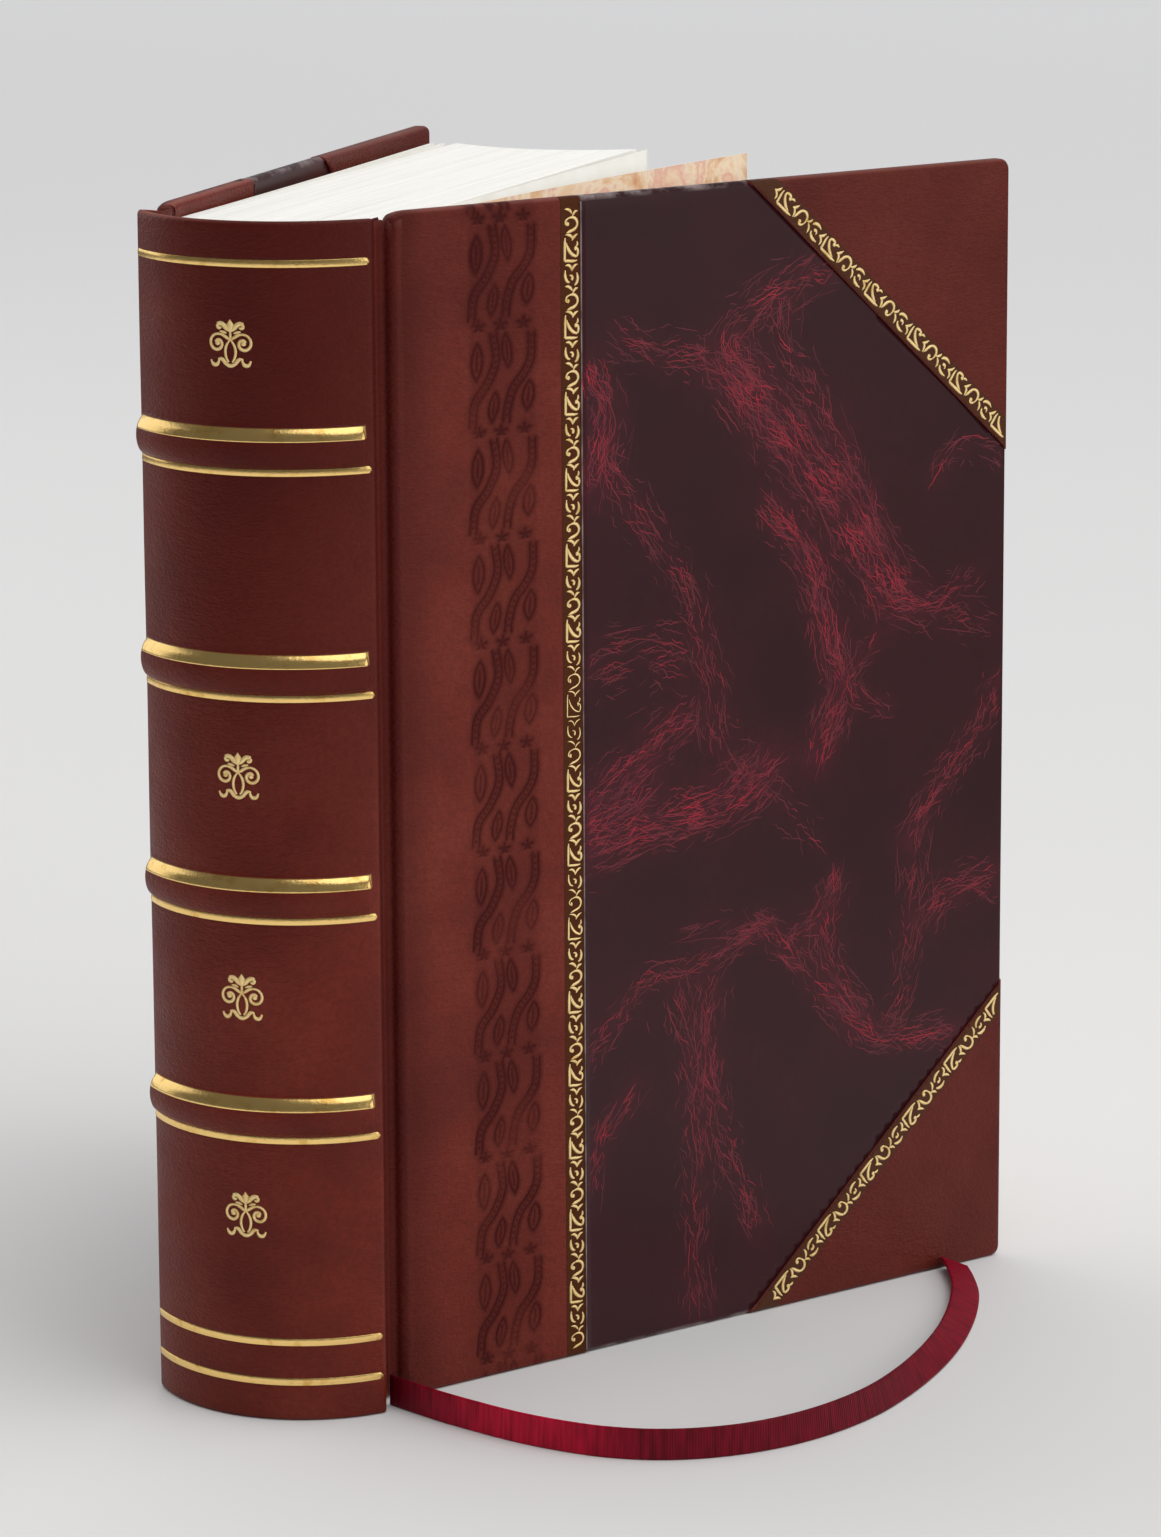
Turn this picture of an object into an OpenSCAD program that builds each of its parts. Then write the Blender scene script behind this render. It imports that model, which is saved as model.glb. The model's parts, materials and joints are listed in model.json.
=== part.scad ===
// Half-leather case-bound book, standing on its tail with both covers ajar.
// The plan is worked out in the book's own frame: the middle of the spine's chord is
// at zero, the fore-edge lies towards +Y, the front cover at +X, the tail at Z = 0.
// place() then moves the whole book, so that zero is under the middle of its outer box.

/* [Covers] */
// Height of the covers
cover_h = 240; // [200:1:280]
// Width of a cover from its hinge line to its fore-edge
cover_w = 155; // [130:1:180]
// Thickness of the board inside a cover
board_t = 2.6; // [2:0.1:4]
// Thickness of the leather
leather_t = 0.6; // [0.4:0.05:0.9]
// Thickness of the marbled paper on the sides
side_paper_t = 0.2; // [0.15:0.05:0.35]
// Thickness of the pastedown inside a cover
pastedown_t = 0.2; // [0.1:0.05:0.3]
// How far leather and paper turn in over the boards
turn_in = 14; // [9:0.5:18]
// Strip of the turn-in left bare round the pastedown
bare_edge = 4.4; // [3:0.1:7]
// Rounding of the covers' outer edges
edge_r = 0.8; // [0.3:0.1:0.9]
// How far the front cover stands open, in degrees
open_front = 34; // [5:1:60]
// How far the back cover stands open, in degrees
open_back = 3; // [2:0.5:20]

/* [Half binding] */
// Width of the leather on the sides, from the hinge line
quarter_w = 43.8; // [30:0.2:60]
// Length of a corner leather along the head or tail
corner_w = 69; // [40:1:85]
// Length of a corner leather along the fore-edge
corner_h = 62; // [40:1:85]
// Width of the gold roll beside the paper
roll_w = 4.6; // [3:0.1:6]
// Length of one repeat of the gold roll
roll_pitch = 15; // [12:0.5:20]
// Gap between the gold roll and the paper
roll_gap = 0.5; // [0.2:0.1:1.5]
// Thickness of the gold tooling
gold_t = 0.1; // [0.06:0.02:0.2]
// Width of the blind-tooled column
blind_w = 16; // [12:0.5:20]
// Length of one repeat of the blind tooling
blind_pitch = 21.2; // [18:0.2:26]
// Distance from the gold roll to the blind tooling
blind_gap = 6.2; // [3:0.1:9]
// Depth of the blind tooling
blind_d = 0.2; // [0.1:0.05:0.3]

/* [Spine] */
// Width of the rounded spine across its chord
spine_chord = 49.5; // [46.5:0.5:52]
// Height of the spine's arch
spine_sag = 11.6; // [9:0.2:14]
// Thickness of the card inside the spine
inlay_t = 0.8; // [0.5:0.1:1.2]
// Thickness of the cloth and paper lining on the back of the pages
lining_t = 0.4; // [0.3:0.1:0.6]
// Distance of the lining's ends from the pages' head and tail
lining_inset = 4; // [2:0.5:12]
// Gap of the hollow back, from the spine card to the lining
hollow_gap = 1.6; // [1.2:0.1:2.5]
// Height of the lowest band above the tail
low_band_z = 62.6; // [46:0.2:75]
// Distance of the highest band below the head
top_band_drop = 43.9; // [36:0.2:55]
// Width of a band at its foot
band_w = 7.6; // [5:0.2:10]
// How far a band stands proud
band_proud = 1.8; // [1:0.1:2.4]
// Arc left flat at each end of a band, in degrees
band_end_a = 3.5; // [2:0.5:8]
// Width of a gold line
line_w = 1.6; // [0.8:0.1:2.2]
// Distance of the head's gold line below the head
head_line_drop = 8.1; // [5:0.1:14]
// Height of the lowest gold line above the tail
tail_line_z = 8.1; // [4:0.1:11]
// Distance between the two gold lines at the tail
tail_line_gap = 8.2; // [4:0.1:12]
// Width of an ornament in the panels of the spine
ornament_w = 9.2; // [6:0.2:14]
// Distance from a band down to the ornament of the panel below it
ornament_drop = 20.6; // [12:0.2:22]
// Distance from the highest band up to the ornament of the head panel
ornament_rise = 20; // [12:0.2:24]

/* [Joints] */
// Distance from the spine's edge to the hinge line
joint_w = 12.2; // [10:0.2:15]
// Depth of the groove below the spine's edge
groove_d = 2.5; // [1.5:0.1:2.6]
// Roundness of the fold at the spine's edge
fold_r = 1.4; // [1:0.1:1.6]
// Clearance between the groove's leather and the cover's round edge
joint_gap = 0.4; // [0.3:0.05:0.8]
// Room beside the closed pages for the loose endleaves
leaf_room = 0.64; // [0.5:0.02:1.2]

/* [Pages] */
// Thickness of the block of pages
block_t = 42.4; // [36:0.2:44]
// Bare board above and below the pages
square_h = 3; // [2:0.2:5]
// Bare board beyond the pages at the fore-edge
square_w = 7; // [3:0.2:10]
// Depth of the hollow in the fore-edge
fore_sag = 7; // [3:0.2:9]
// Thickness of an endleaf
leaf_t = 0.25; // [0.2:0.05:0.3]
// Gap between the loose leaves at the gutter
leaf_gap = 0.06; // [0.02:0.01:0.06]
// How far the flyleaves stand off the pages at their free edge
fly_open = 2.4; // [1:0.2:3]
// How far the front free endpaper stands off the pages at its free edge
front_leaf_open = 25; // [5:1:60]
// How far the back free endpaper stands off the pages at its free edge
back_leaf_open = 4.8; // [3.6:0.2:6]

/* [Ribbon] */
// Width of the ribbon marker
ribbon_w = 6.4; // [4:0.2:9]
// Thickness of the ribbon marker
ribbon_t = 0.6; // [0.5:0.1:0.9]

/* [Hidden] */
$fn = 96;
band_count = 4;

leather_red = [0.38, 0.14, 0.11];
gold_leaf = [0.85, 0.68, 0.30];
marbled_red = [0.25, 0.09, 0.13];
page_white = [0.95, 0.94, 0.90];
endpaper_tan = [0.83, 0.66, 0.50];
card_grey = [0.62, 0.58, 0.50];
lining_white = [0.85, 0.82, 0.74];
ribbon_red = [0.50, 0.06, 0.14];

// A cover's section: the board, and the leather on both faces of it.
hinge_r = board_t / 2 + leather_t;
hinge_x = block_t / 2 + leaf_room + pastedown_t + hinge_r;
hinge_y = joint_w;

// The spine's arc, and the layers inside it.
spine_r = (spine_chord * spine_chord / 4 + spine_sag * spine_sag) / (2 * spine_sag);
spine_cy = spine_r - spine_sag;
spine_a = asin(spine_chord / 2 / spine_r);
card_r = spine_r - leather_t;
flap_r = card_r - inlay_t;
block_r = flap_r - hollow_gap - lining_t;
block_a = asin(block_t / 2 / block_r);
groove_x = spine_chord / 2 - groove_d;
band_pitch = (cover_h - top_band_drop - low_band_z) / (band_count - 1);
band_half_a = spine_a - band_end_a;
line_half_a = spine_a - 1;
function band_height(i) = low_band_z + i * band_pitch;

// The pages.
block_h = cover_h - 2 * square_h;
fore_y = hinge_y + cover_w - square_w;
fore_r = (block_t * block_t / 4 + fore_sag * fore_sag) / (2 * fore_sag);
gutter_y = joint_w - hinge_r + joint_gap;
fly_x = block_t / 2 + leaf_gap + leaf_t / 2;
free_x = fly_x + leaf_gap + leaf_t;
leaf_y = fore_y - 0.6;

// The box of the whole book gives the place of zero.
function turned(n, s, a) = [hinge_x + n * cos(a) + s * sin(a), hinge_y + s * cos(a) - n * sin(a)];
corner_n = hinge_r - edge_r;
corner_s = cover_w - edge_r;
far_front = turned(corner_n, corner_s, open_front);
far_back = turned(corner_n, corner_s, open_back);
near_back = turned(-corner_n, corner_s, open_back);
mid_x = (far_front[0] - far_back[0]) / 2;
mid_y = (near_back[1] + edge_r - spine_sag - band_proud) / 2;

// Points along the ribbon on the floor, and how far its top edge leans to the book, in degrees.
ribbon_route = [
    [-15.2, -72, 0], [-9.5, -74.6, 0], [-2, -77.8, 0], [7, -81, 0], [17, -84, 0], [27, -85.7, 0],
    [36, -86, 0], [45, -84.4, 0], [53.5, -80.6, 0], [61.5, -74.6, 0], [68.5, -66.4, 4],
    [74, -56.5, 8], [78, -45, 14], [80.2, -32, 22], [81, -18.5, 34], [80.6, -5, 48],
    [79.2, 8, 60], [77, 21, 66], [73.8, 33.5, 68], [70, 43, 68], [66.6, 49.8, 68]
];

module place() {
    translate([-mid_x, -mid_y, 0]) children();
}

// Curves and bands of a drawn line.
function bezier(a, b, c, d, n) = [for (i = [0:n]) let (t = i / n, u = 1 - t)
    u * u * u * a + 3 * u * u * t * b + 3 * u * t * t * c + t * t * t * d];
function spiral(at, r0, r1, a0, a1, n) = [for (i = [0:n]) let (t = i / n, r = r0 + (r1 - r0) * t,
    a = a0 + (a1 - a0) * t) at + r * [cos(a), sin(a)]];
function heading(p, i) = let (d = p[min(i + 1, len(p) - 1)] - p[max(i - 1, 0)]) d / norm(d);
function shifted(p, off) = [for (i = [0:len(p) - 1]) let (h = heading(p, i)) p[i] + off * [h[1], -h[0]]];
function reversed(p) = [for (i = [len(p) - 1:-1:0]) p[i]];

module stroke(path, w) {
    polygon(concat(shifted(path, w / 2), reversed(shifted(path, -w / 2))));
}

// A pointed leaf, drawn with four corners.
module leaf(at, len, w, a) {
    translate(at) rotate(a)
        polygon([[-len / 2, 0], [len * 0.08, w / 2], [len / 2, 0], [len * 0.08, -w / 2]]);
}

// A piece of the arched spine between two radii.
module arch(r_in, r_out, half_a, z0, z1) {
    translate([0, spine_cy, z0]) rotate(-90 - half_a)
        rotate_extrude(angle = 2 * half_a)
            translate([r_in, 0]) square([r_out - r_in, z1 - z0]);
}

// Half an ellipse: the section of a raised band, from its lower foot at 0 to its upper foot at 180.
function band_curve(r, proud, w, a0, a1, n) =
    [for (i = [0:n]) let (a = a0 + (a1 - a0) * i / n) [r + proud * sin(a), -w / 2 * cos(a)]];

// An outline carried round the spine at a height.
module round_spine(half_a, z) {
    translate([0, spine_cy, z]) rotate(-90 - half_a)
        rotate_extrude(angle = 2 * half_a) children();
}

module raised_card(i) {
    round_spine(band_half_a - 1, band_height(i))
        polygon(band_curve(card_r, band_proud, band_w - 2 * leather_t, 0, 180, 6));
}

module raised_leather(i) {
    round_spine(band_half_a, band_height(i))
        polygon(concat([[card_r, -band_w / 2]], band_curve(spine_r, band_proud, band_w, 0, 180, 8),
            [[card_r, band_w / 2]]));
}

// Leather that lines the groove between spine and cover, as a strip in plan.
strip_end_y = joint_w - hinge_r - joint_gap;
groove_outer = concat(
    bezier([spine_chord / 2, 0], [spine_chord / 2 + fold_r / 7, fold_r],
        [groove_x + fold_r * 0.64, fold_r * 1.36], [groove_x + fold_r / 7, fold_r * 2.57], 7),
    bezier([groove_x, fold_r * 3.3], [groove_x - fold_r / 7, joint_w / 2],
        [groove_x - fold_r / 7, strip_end_y - fold_r], [groove_x, strip_end_y], 6)
);

module groove_strip() {
    linear_extrude(cover_h)
        difference() {
            polygon(concat([[spine_chord / 2 - leather_t, -leather_t / 2]], groove_outer,
                reversed(shifted(groove_outer, -leather_t))));
            translate([hinge_x, hinge_y]) circle(hinge_r + joint_gap);
        }
}

module text_block() {
    color(page_white) place() translate([0, 0, square_h])
        linear_extrude(block_h)
            difference() {
                intersection() {
                    union() {
                        translate([0, spine_cy]) circle(block_r);
                        translate([-block_t / 2, spine_cy]) square([block_t, fore_y - spine_cy]);
                    }
                    translate([-block_t / 2, spine_cy - block_r - 1])
                        square([block_t, fore_y + block_r]);
                }
                translate([0, fore_y - fore_sag + fore_r]) circle(fore_r);
            }
}

module spine_lining() {
    color(lining_white) place()
        arch(block_r, block_r + lining_t, block_a,
            square_h + lining_inset, cover_h - square_h - lining_inset);
}

module spine_card() {
    color(card_grey) place()
        arch(flap_r, card_r, spine_a - 1, leather_t, cover_h - leather_t);
}

module band_under(i) {
    color(card_grey) place() raised_card(i);
}

// The leather is one skin: over the bands, turned in at head and tail, and down into both grooves.
module spine_leather() {
    color(leather_red) place() {
        difference() {
            union() {
                arch(flap_r - leather_t, spine_r, spine_a, 0, cover_h);
                for (i = [0:band_count - 1]) raised_leather(i);
            }
            arch(flap_r, card_r, spine_a - 1, leather_t, cover_h - leather_t);
            arch(flap_r - 2 * leather_t, flap_r + 0.1, spine_a + 2, turn_in, cover_h - turn_in);
            for (i = [0:band_count - 1]) raised_card(i);
        }
        groove_strip();
        mirror([1, 0, 0]) groove_strip();
    }
}

// Ornament for the spine's panels: a leaf sprig over two side scrolls, an open oval and two feet.
module ornament() {
    scale(ornament_w / 9.2) {
        for (side = [-1, 1]) {
            stroke(spiral([side * 2.7, 0.25], 1.85, 0.5, side > 0 ? 115 : 65,
                side > 0 ? -330 : 510, 8), 0.5);
            stroke(bezier([0, 0.9], [side * 0.9, 1.2], [side * 1.4, 1.9], [side * 2.1, 1.95], 2), 0.5);
            stroke(bezier([0, 0.8], [side * 1.3, -0.4], [side * 1.2, -2.2], [side * 0.4, -3.4], 3), 0.45);
            stroke(bezier([side * 0.2, -3.9], [side * 1.6, -4.3], [side * 1.4, -2.4],
                [side * 2.6, -3], 2), 0.5);
            stroke(bezier([side * 2.4, -3], [side * 2.6, -4.4], [side * 3.9, -4.4],
                [side * 4.1, -3], 3), 0.5);
            stroke(bezier([0, 2.4], [side * 1, 2.7], [side * 1.6, 4.6], [side * 2.7, 3.9], 3), 0.7);
            leaf([side * 2.2, 3.1], 1.9, 0.9, side * 60);
        }
        translate([-0.7, -4.2]) square([1.4, 0.7]);
        translate([-0.22, 0.5]) square([0.44, 2.2]);
        leaf([0, 3.6], 2.6, 1.3, 90);
    }
}

// Gold on the spine: lines round the arch and on the bands' upper slopes, and the ornament in
// each panel but the one below the highest band, which is bare for a title.
module gold_line(z) {
    arch(spine_r, spine_r + gold_t, line_half_a, z - line_w / 2, z + line_w / 2);
}

module band_gold(i) {
    round_spine(band_half_a, band_height(i))
        polygon(concat(band_curve(spine_r, band_proud, band_w, 112.5, 157.5, 2),
            reversed(band_curve(spine_r, band_proud + gold_t, band_w + gold_t, 112.5, 157.5, 2))));
}

module spine_gold() {
    panel_z = concat([for (i = [0:band_count - 2]) band_height(i) - ornament_drop],
        [band_height(band_count - 1) + ornament_rise]);
    color(gold_leaf) place() {
        for (z = [cover_h - head_line_drop, tail_line_z, tail_line_z + tail_line_gap]) gold_line(z);
        for (i = [0:band_count - 1]) {
            gold_line(band_height(i) - band_w / 2 - line_w / 2);
            band_gold(i);
        }
        intersection() {
            arch(spine_r, spine_r + gold_t, spine_a - 10, 0, cover_h);
            for (z = panel_z) translate([0, 0, z]) rotate([90, 0, 0]) linear_extrude(2 * spine_sag) ornament();
        }
    }
}

// A loose leaf at the front: it leaves the gutter straight and bows out to its free edge.
module endleaf(x, open) {
    path = bezier([x, gutter_y], [x + open * 0.06, leaf_y * 0.32],
        [x + open * 0.5, leaf_y * 0.66], [x + open, leaf_y], 12);
    translate([0, 0, square_h]) linear_extrude(block_h) stroke(path, leaf_t);
}

module front_flyleaf() {
    color(page_white) place() endleaf(fly_x, fly_open);
}

module front_free_endpaper() {
    color(endpaper_tan) place() endleaf(free_x, front_leaf_open);
}

module back_flyleaf() {
    color(page_white) place() mirror([1, 0, 0]) endleaf(fly_x, fly_open);
}

module back_free_endpaper() {
    color(endpaper_tan) place() mirror([1, 0, 0]) endleaf(free_x, back_leaf_open);
}

// A cover's body in its own frame: X is out of its outer face, Y runs to the fore-edge,
// and the hinge line is the Z axis. Its joint edge is round about that axis.
module cover_body(grow) {
    r = board_t / 2 + grow;
    e = min(edge_r, r - 0.1);
    end = cover_w - leather_t + grow;
    translate([0, 0, leather_t - grow]) linear_extrude(cover_h - 2 * leather_t + 2 * grow) {
        circle(r);
        translate([-r, 0]) square([2 * r, end - e]);
        translate([-r + e, 0]) square([2 * (r - e), end]);
        for (x = [-1, 1]) translate([x * (r - e), end - e]) circle(e);
    }
}

module front_place() {
    place() translate([hinge_x, hinge_y, 0]) rotate(-open_front) children();
}

module back_place() {
    place() translate([-hinge_x, hinge_y, 0]) rotate(open_back) mirror([1, 0, 0]) children();
}

module board_solid() {
    cover_body(0);
}

// One repeat of the blind tooling: three leaves, two S strands and a row of little flowers.
module blind_repeat() {
    w = blind_w;
    p = blind_pitch;
    leaf([w * 0.12, p * 0.82], p * 0.34, w * 0.15, 88);
    leaf([w * 0.56, p * 0.86], p * 0.32, w * 0.14, 82);
    leaf([w * 0.80, p * 0.46], p * 0.32, w * 0.14, 98);
    for (x = [0.06, 0.44])
        stroke(bezier([w * (x + 0.36), p * 0.94], [w * (x + 0.36), p * 0.62],
            [w * x, p * 0.66], [w * x, p * 0.30], 3), w * 0.08);
    for (x = [0.18, 0.5, 0.82])
        translate([w * x, p * 0.13]) circle(w * 0.1, $fn = 4);
}

module blind_tooling() {
    blind_s = quarter_w - roll_gap - roll_w - blind_gap - blind_w;
    for (i = [0:floor((cover_h - 4) / blind_pitch) - 1])
        translate([hinge_r - blind_d, blind_s, 3 + i * blind_pitch])
            rotate([90, 0, 90]) linear_extrude(1) blind_repeat();
}

// Leather over the spine side of a cover: outer face, round joint edge, head and tail turned in.
module side_leather() {
    difference() {
        intersection() {
            cover_body(leather_t);
            translate([-10, -10, -1]) cube([20, quarter_w + 10, cover_h + 2]);
        }
        cover_body(0);
        translate([-10, 0, turn_in]) cube([10, cover_w, cover_h - 2 * turn_in]);
        blind_tooling();
    }
}

// A corner leather at the tail: the board's corner beyond the diagonal.
module tail_corner_leather() {
    difference() {
        intersection() {
            cover_body(leather_t);
            rotate([90, 0, 90]) linear_extrude(20, center = true)
                polygon([[cover_w - corner_w, -1], [cover_w + 1, -1], [cover_w + 1, corner_h],
                    [cover_w, corner_h], [cover_w - corner_w, 0]]);
        }
        cover_body(0);
        translate([-10, 0, turn_in]) cube([10, cover_w - turn_in, cover_h - 2 * turn_in]);
    }
}

module to_head() {
    translate([0, 0, cover_h]) mirror([0, 0, 1]) children();
}

// Marbled paper over the rest of a cover, turned in on three edges.
module side_paper() {
    difference() {
        intersection() {
            cover_body(side_paper_t);
            rotate([90, 0, 90]) linear_extrude(20, center = true)
                polygon([[quarter_w, -1], [cover_w - corner_w, -1], [cover_w - corner_w, 0],
                    [cover_w, corner_h], [cover_w + 1, corner_h], [cover_w + 1, cover_h - corner_h],
                    [cover_w, cover_h - corner_h], [cover_w - corner_w, cover_h],
                    [cover_w - corner_w, cover_h + 1], [quarter_w, cover_h + 1]]);
        }
        cover_body(0);
        translate([-10, 0, turn_in]) cube([10, cover_w - turn_in, cover_h - 2 * turn_in]);
    }
}

// The pastedown lies over the turn-ins and fills the field between them.
module pastedown() {
    difference() {
        translate([-hinge_r - pastedown_t, 1.5, bare_edge])
            cube([leather_t + pastedown_t, cover_w - bare_edge - 1.5, cover_h - 2 * bare_edge]);
        difference() {
            translate([-hinge_r, -1, 0]) cube([hinge_r, cover_w + 2, cover_h]);
            translate([-10, 0, turn_in]) cube([10, cover_w - turn_in, cover_h - 2 * turn_in]);
        }
    }
}

// Where the gold roll's stem runs: a wave from edge to edge, once in each repeat.
stem_steps = 5;
function stem_x(y) = roll_w * (0.5 - 0.36 * cos(360 * y / roll_pitch));

// What hangs on one repeat of the stem: two scrolls, and a pair of leaves.
module roll_repeat() {
    w = roll_w;
    p = roll_pitch;
    stroke(bezier([stem_x(p * 0.08), p * 0.08], [w * 0.5, p * 0.02], [w * 1.16, p * 0.1],
        [w * 0.66, p * 0.24], 2), w * 0.15);
    stroke(bezier([stem_x(p * 0.58), p * 0.58], [w * 0.5, p * 0.52], [w * -0.16, p * 0.6],
        [w * 0.34, p * 0.74], 2), w * 0.15);
    leaf([w * 0.28, p * 0.38], p * 0.24, w * 0.24, 58);
    leaf([w * 0.72, p * 0.88], p * 0.24, w * 0.24, 122);
}

module roll_strip(length) {
    intersection() {
        union() {
            stroke([for (i = [0:ceil(length * stem_steps / roll_pitch)])
                let (y = i * roll_pitch / stem_steps) [stem_x(y), y]], roll_w * 0.13);
            for (i = [0:ceil(length / roll_pitch) - 1]) translate([0, i * roll_pitch]) roll_repeat();
        }
        square([roll_w, length]);
    }
}

diagonal_a = atan2(corner_h, corner_w);
diagonal_l = sqrt(corner_w * corner_w + corner_h * corner_h);

module corner_roll() {
    intersection() {
        translate([cover_w - corner_w, 0]) rotate(diagonal_a) translate([0, -roll_gap]) rotate(-90)
            roll_strip(diagonal_l);
        translate([0, edge_r]) square([cover_w - edge_r, corner_h]);
    }
}

module cover_gold() {
    translate([hinge_r, 0, 0]) rotate([90, 0, 90]) linear_extrude(gold_t) {
        translate([quarter_w - roll_gap - roll_w, 2]) roll_strip(cover_h - 4);
        corner_roll();
        translate([0, cover_h]) mirror([0, 1]) corner_roll();
    }
}

// The ribbon: a flat eight-sided section carried along its route, resting on its lower edge.
ribbon_round = 0.15;
ribbon_section = [
    [-ribbon_t / 2 + ribbon_round, -ribbon_w / 2], [ribbon_t / 2 - ribbon_round, -ribbon_w / 2],
    [ribbon_t / 2, -ribbon_w / 2 + ribbon_round], [ribbon_t / 2, ribbon_w / 2 - ribbon_round],
    [ribbon_t / 2 - ribbon_round, ribbon_w / 2], [-ribbon_t / 2 + ribbon_round, ribbon_w / 2],
    [-ribbon_t / 2, ribbon_w / 2 - ribbon_round], [-ribbon_t / 2, -ribbon_w / 2 + ribbon_round]
];

module ribbon_marker() {
    n = len(ribbon_route);
    k = len(ribbon_section);
    plan = [for (p = ribbon_route) [p[0], p[1]]];
    points = [for (i = [0:n - 1]) let (h = heading(plan, i), lean = ribbon_route[i][2],
            rise = ribbon_w / 2 * cos(lean) + ribbon_t / 2 * sin(lean) + 0.02)
        for (q = ribbon_section) let (out = q[0] * cos(lean) - q[1] * sin(lean))
            [plan[i][0] + out * h[1], plan[i][1] - out * h[0], rise + q[1] * cos(lean) + q[0] * sin(lean)]];
    sides = [for (i = [0:n - 2]) for (j = [0:k - 1]) for (t = [0, 1])
        t == 0 ? [i * k + j, i * k + (j + 1) % k, (i + 1) * k + (j + 1) % k]
            : [i * k + j, (i + 1) * k + (j + 1) % k, (i + 1) * k + j]];
    caps = [[for (j = [k - 1:-1:0]) j], [for (j = [0:k - 1]) (n - 1) * k + j]];
    color(ribbon_red) polyhedron(points, concat(sides, caps), convexity = 4);
}

text_block();
spine_lining();
spine_card();
band_under(0);  // band_1
band_under(1);  // band_2
band_under(2);  // band_3
band_under(3);  // band_4
spine_leather();
spine_gold();
front_flyleaf();
back_flyleaf();
front_free_endpaper();
back_free_endpaper();
ribbon_marker();
color(card_grey) front_place() board_solid();  // front_board
color(leather_red) front_place() side_leather();  // front_side_leather
color(leather_red) front_place() to_head() tail_corner_leather();  // front_head_corner
color(leather_red) front_place() tail_corner_leather();  // front_tail_corner
color(marbled_red) front_place() side_paper();  // front_side_paper
color(endpaper_tan) front_place() pastedown();  // front_pastedown
color(gold_leaf) front_place() cover_gold();  // front_gold
color(card_grey) back_place() board_solid();  // back_board
color(leather_red) back_place() side_leather();  // back_side_leather
color(leather_red) back_place() to_head() tail_corner_leather();  // back_head_corner
color(leather_red) back_place() tail_corner_leather();  // back_tail_corner
color(marbled_red) back_place() side_paper();  // back_side_paper
color(endpaper_tan) back_place() pastedown();  // back_pastedown
color(gold_leaf) back_place() cover_gold();  // back_gold
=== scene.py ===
# Half-leather book on its tail: raised bands, gold tooling, marbled sides, loose endleaves, ribbon marker.
import json
import math

import bmesh
import bpy
import numpy as np
from mathutils import Matrix, Vector


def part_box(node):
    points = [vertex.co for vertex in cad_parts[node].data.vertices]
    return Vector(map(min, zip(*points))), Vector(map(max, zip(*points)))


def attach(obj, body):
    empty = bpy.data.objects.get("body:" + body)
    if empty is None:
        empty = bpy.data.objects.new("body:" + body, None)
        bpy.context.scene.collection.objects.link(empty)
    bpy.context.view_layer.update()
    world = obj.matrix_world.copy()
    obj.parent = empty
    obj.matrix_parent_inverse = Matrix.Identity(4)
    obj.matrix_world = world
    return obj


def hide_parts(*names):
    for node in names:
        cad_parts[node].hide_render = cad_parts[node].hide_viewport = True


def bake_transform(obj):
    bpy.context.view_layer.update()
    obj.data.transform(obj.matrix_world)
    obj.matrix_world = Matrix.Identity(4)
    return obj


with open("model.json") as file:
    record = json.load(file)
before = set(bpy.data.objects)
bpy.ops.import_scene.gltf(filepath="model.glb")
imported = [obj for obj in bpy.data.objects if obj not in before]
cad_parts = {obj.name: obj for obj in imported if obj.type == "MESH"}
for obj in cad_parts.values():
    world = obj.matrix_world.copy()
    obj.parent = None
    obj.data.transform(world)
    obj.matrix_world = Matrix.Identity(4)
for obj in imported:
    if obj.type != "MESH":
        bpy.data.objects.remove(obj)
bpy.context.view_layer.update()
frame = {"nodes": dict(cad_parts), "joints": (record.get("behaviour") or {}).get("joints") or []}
print("frame loaded")

mm = 0.001
rng = np.random.default_rng(7)

# sizes of the binding, in metres, as the frame has them
book = {
    "height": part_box("spine_leather")[1][2],
    "boardHalf": 1.3 * mm,
    "leather": 0.6 * mm,
    "sidePaper": 0.2 * mm,
    "coverWidth": 155 * mm,
    "quarter": 43.8 * mm,
    "cornerW": 69 * mm,
    "cornerH": 62 * mm,
    "turnIn": 14 * mm,
    "edgeRound": 1.1 * mm,
    "cornerRound": 2.2 * mm,
    "jointRun": 5.5 * mm,
    "jointRise": 1.9 * mm,
}


# the camera stands where the photograph was taken from, and looks down a little
camera = {
    "place": (0.37780, -1.01747, 0.36183),
    "azimuth": 20.39,
    "pitch": 10.74,
    "roll": -0.31,
    "lens": 125.1,
    "shiftY": -0.1204,
}


def makeCamera():
    a, e, r = (math.radians(camera[k]) for k in ("azimuth", "pitch", "roll"))
    ahead = Vector((-math.sin(a) * math.cos(e), math.cos(a) * math.cos(e), -math.sin(e)))
    right = Vector((math.cos(a), math.sin(a), 0))
    up = right.cross(ahead)
    tiltedRight = math.cos(r) * right + math.sin(r) * up
    tiltedUp = math.cos(r) * up - math.sin(r) * right
    data = bpy.data.cameras.new("photoCamera")
    data.sensor_width = 36
    data.lens = camera["lens"]
    data.shift_y = camera["shiftY"]
    data.clip_start = 0.05
    cam = bpy.data.objects.new("photoCamera", data)
    bpy.context.collection.objects.link(cam)
    turn = Matrix((tiltedRight, tiltedUp, -ahead)).transposed().to_4x4()
    cam.matrix_world = Matrix.Translation(camera["place"]) @ turn
    bpy.context.scene.camera = cam


makeCamera()
print("camera set")


# meshes from grids

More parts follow.
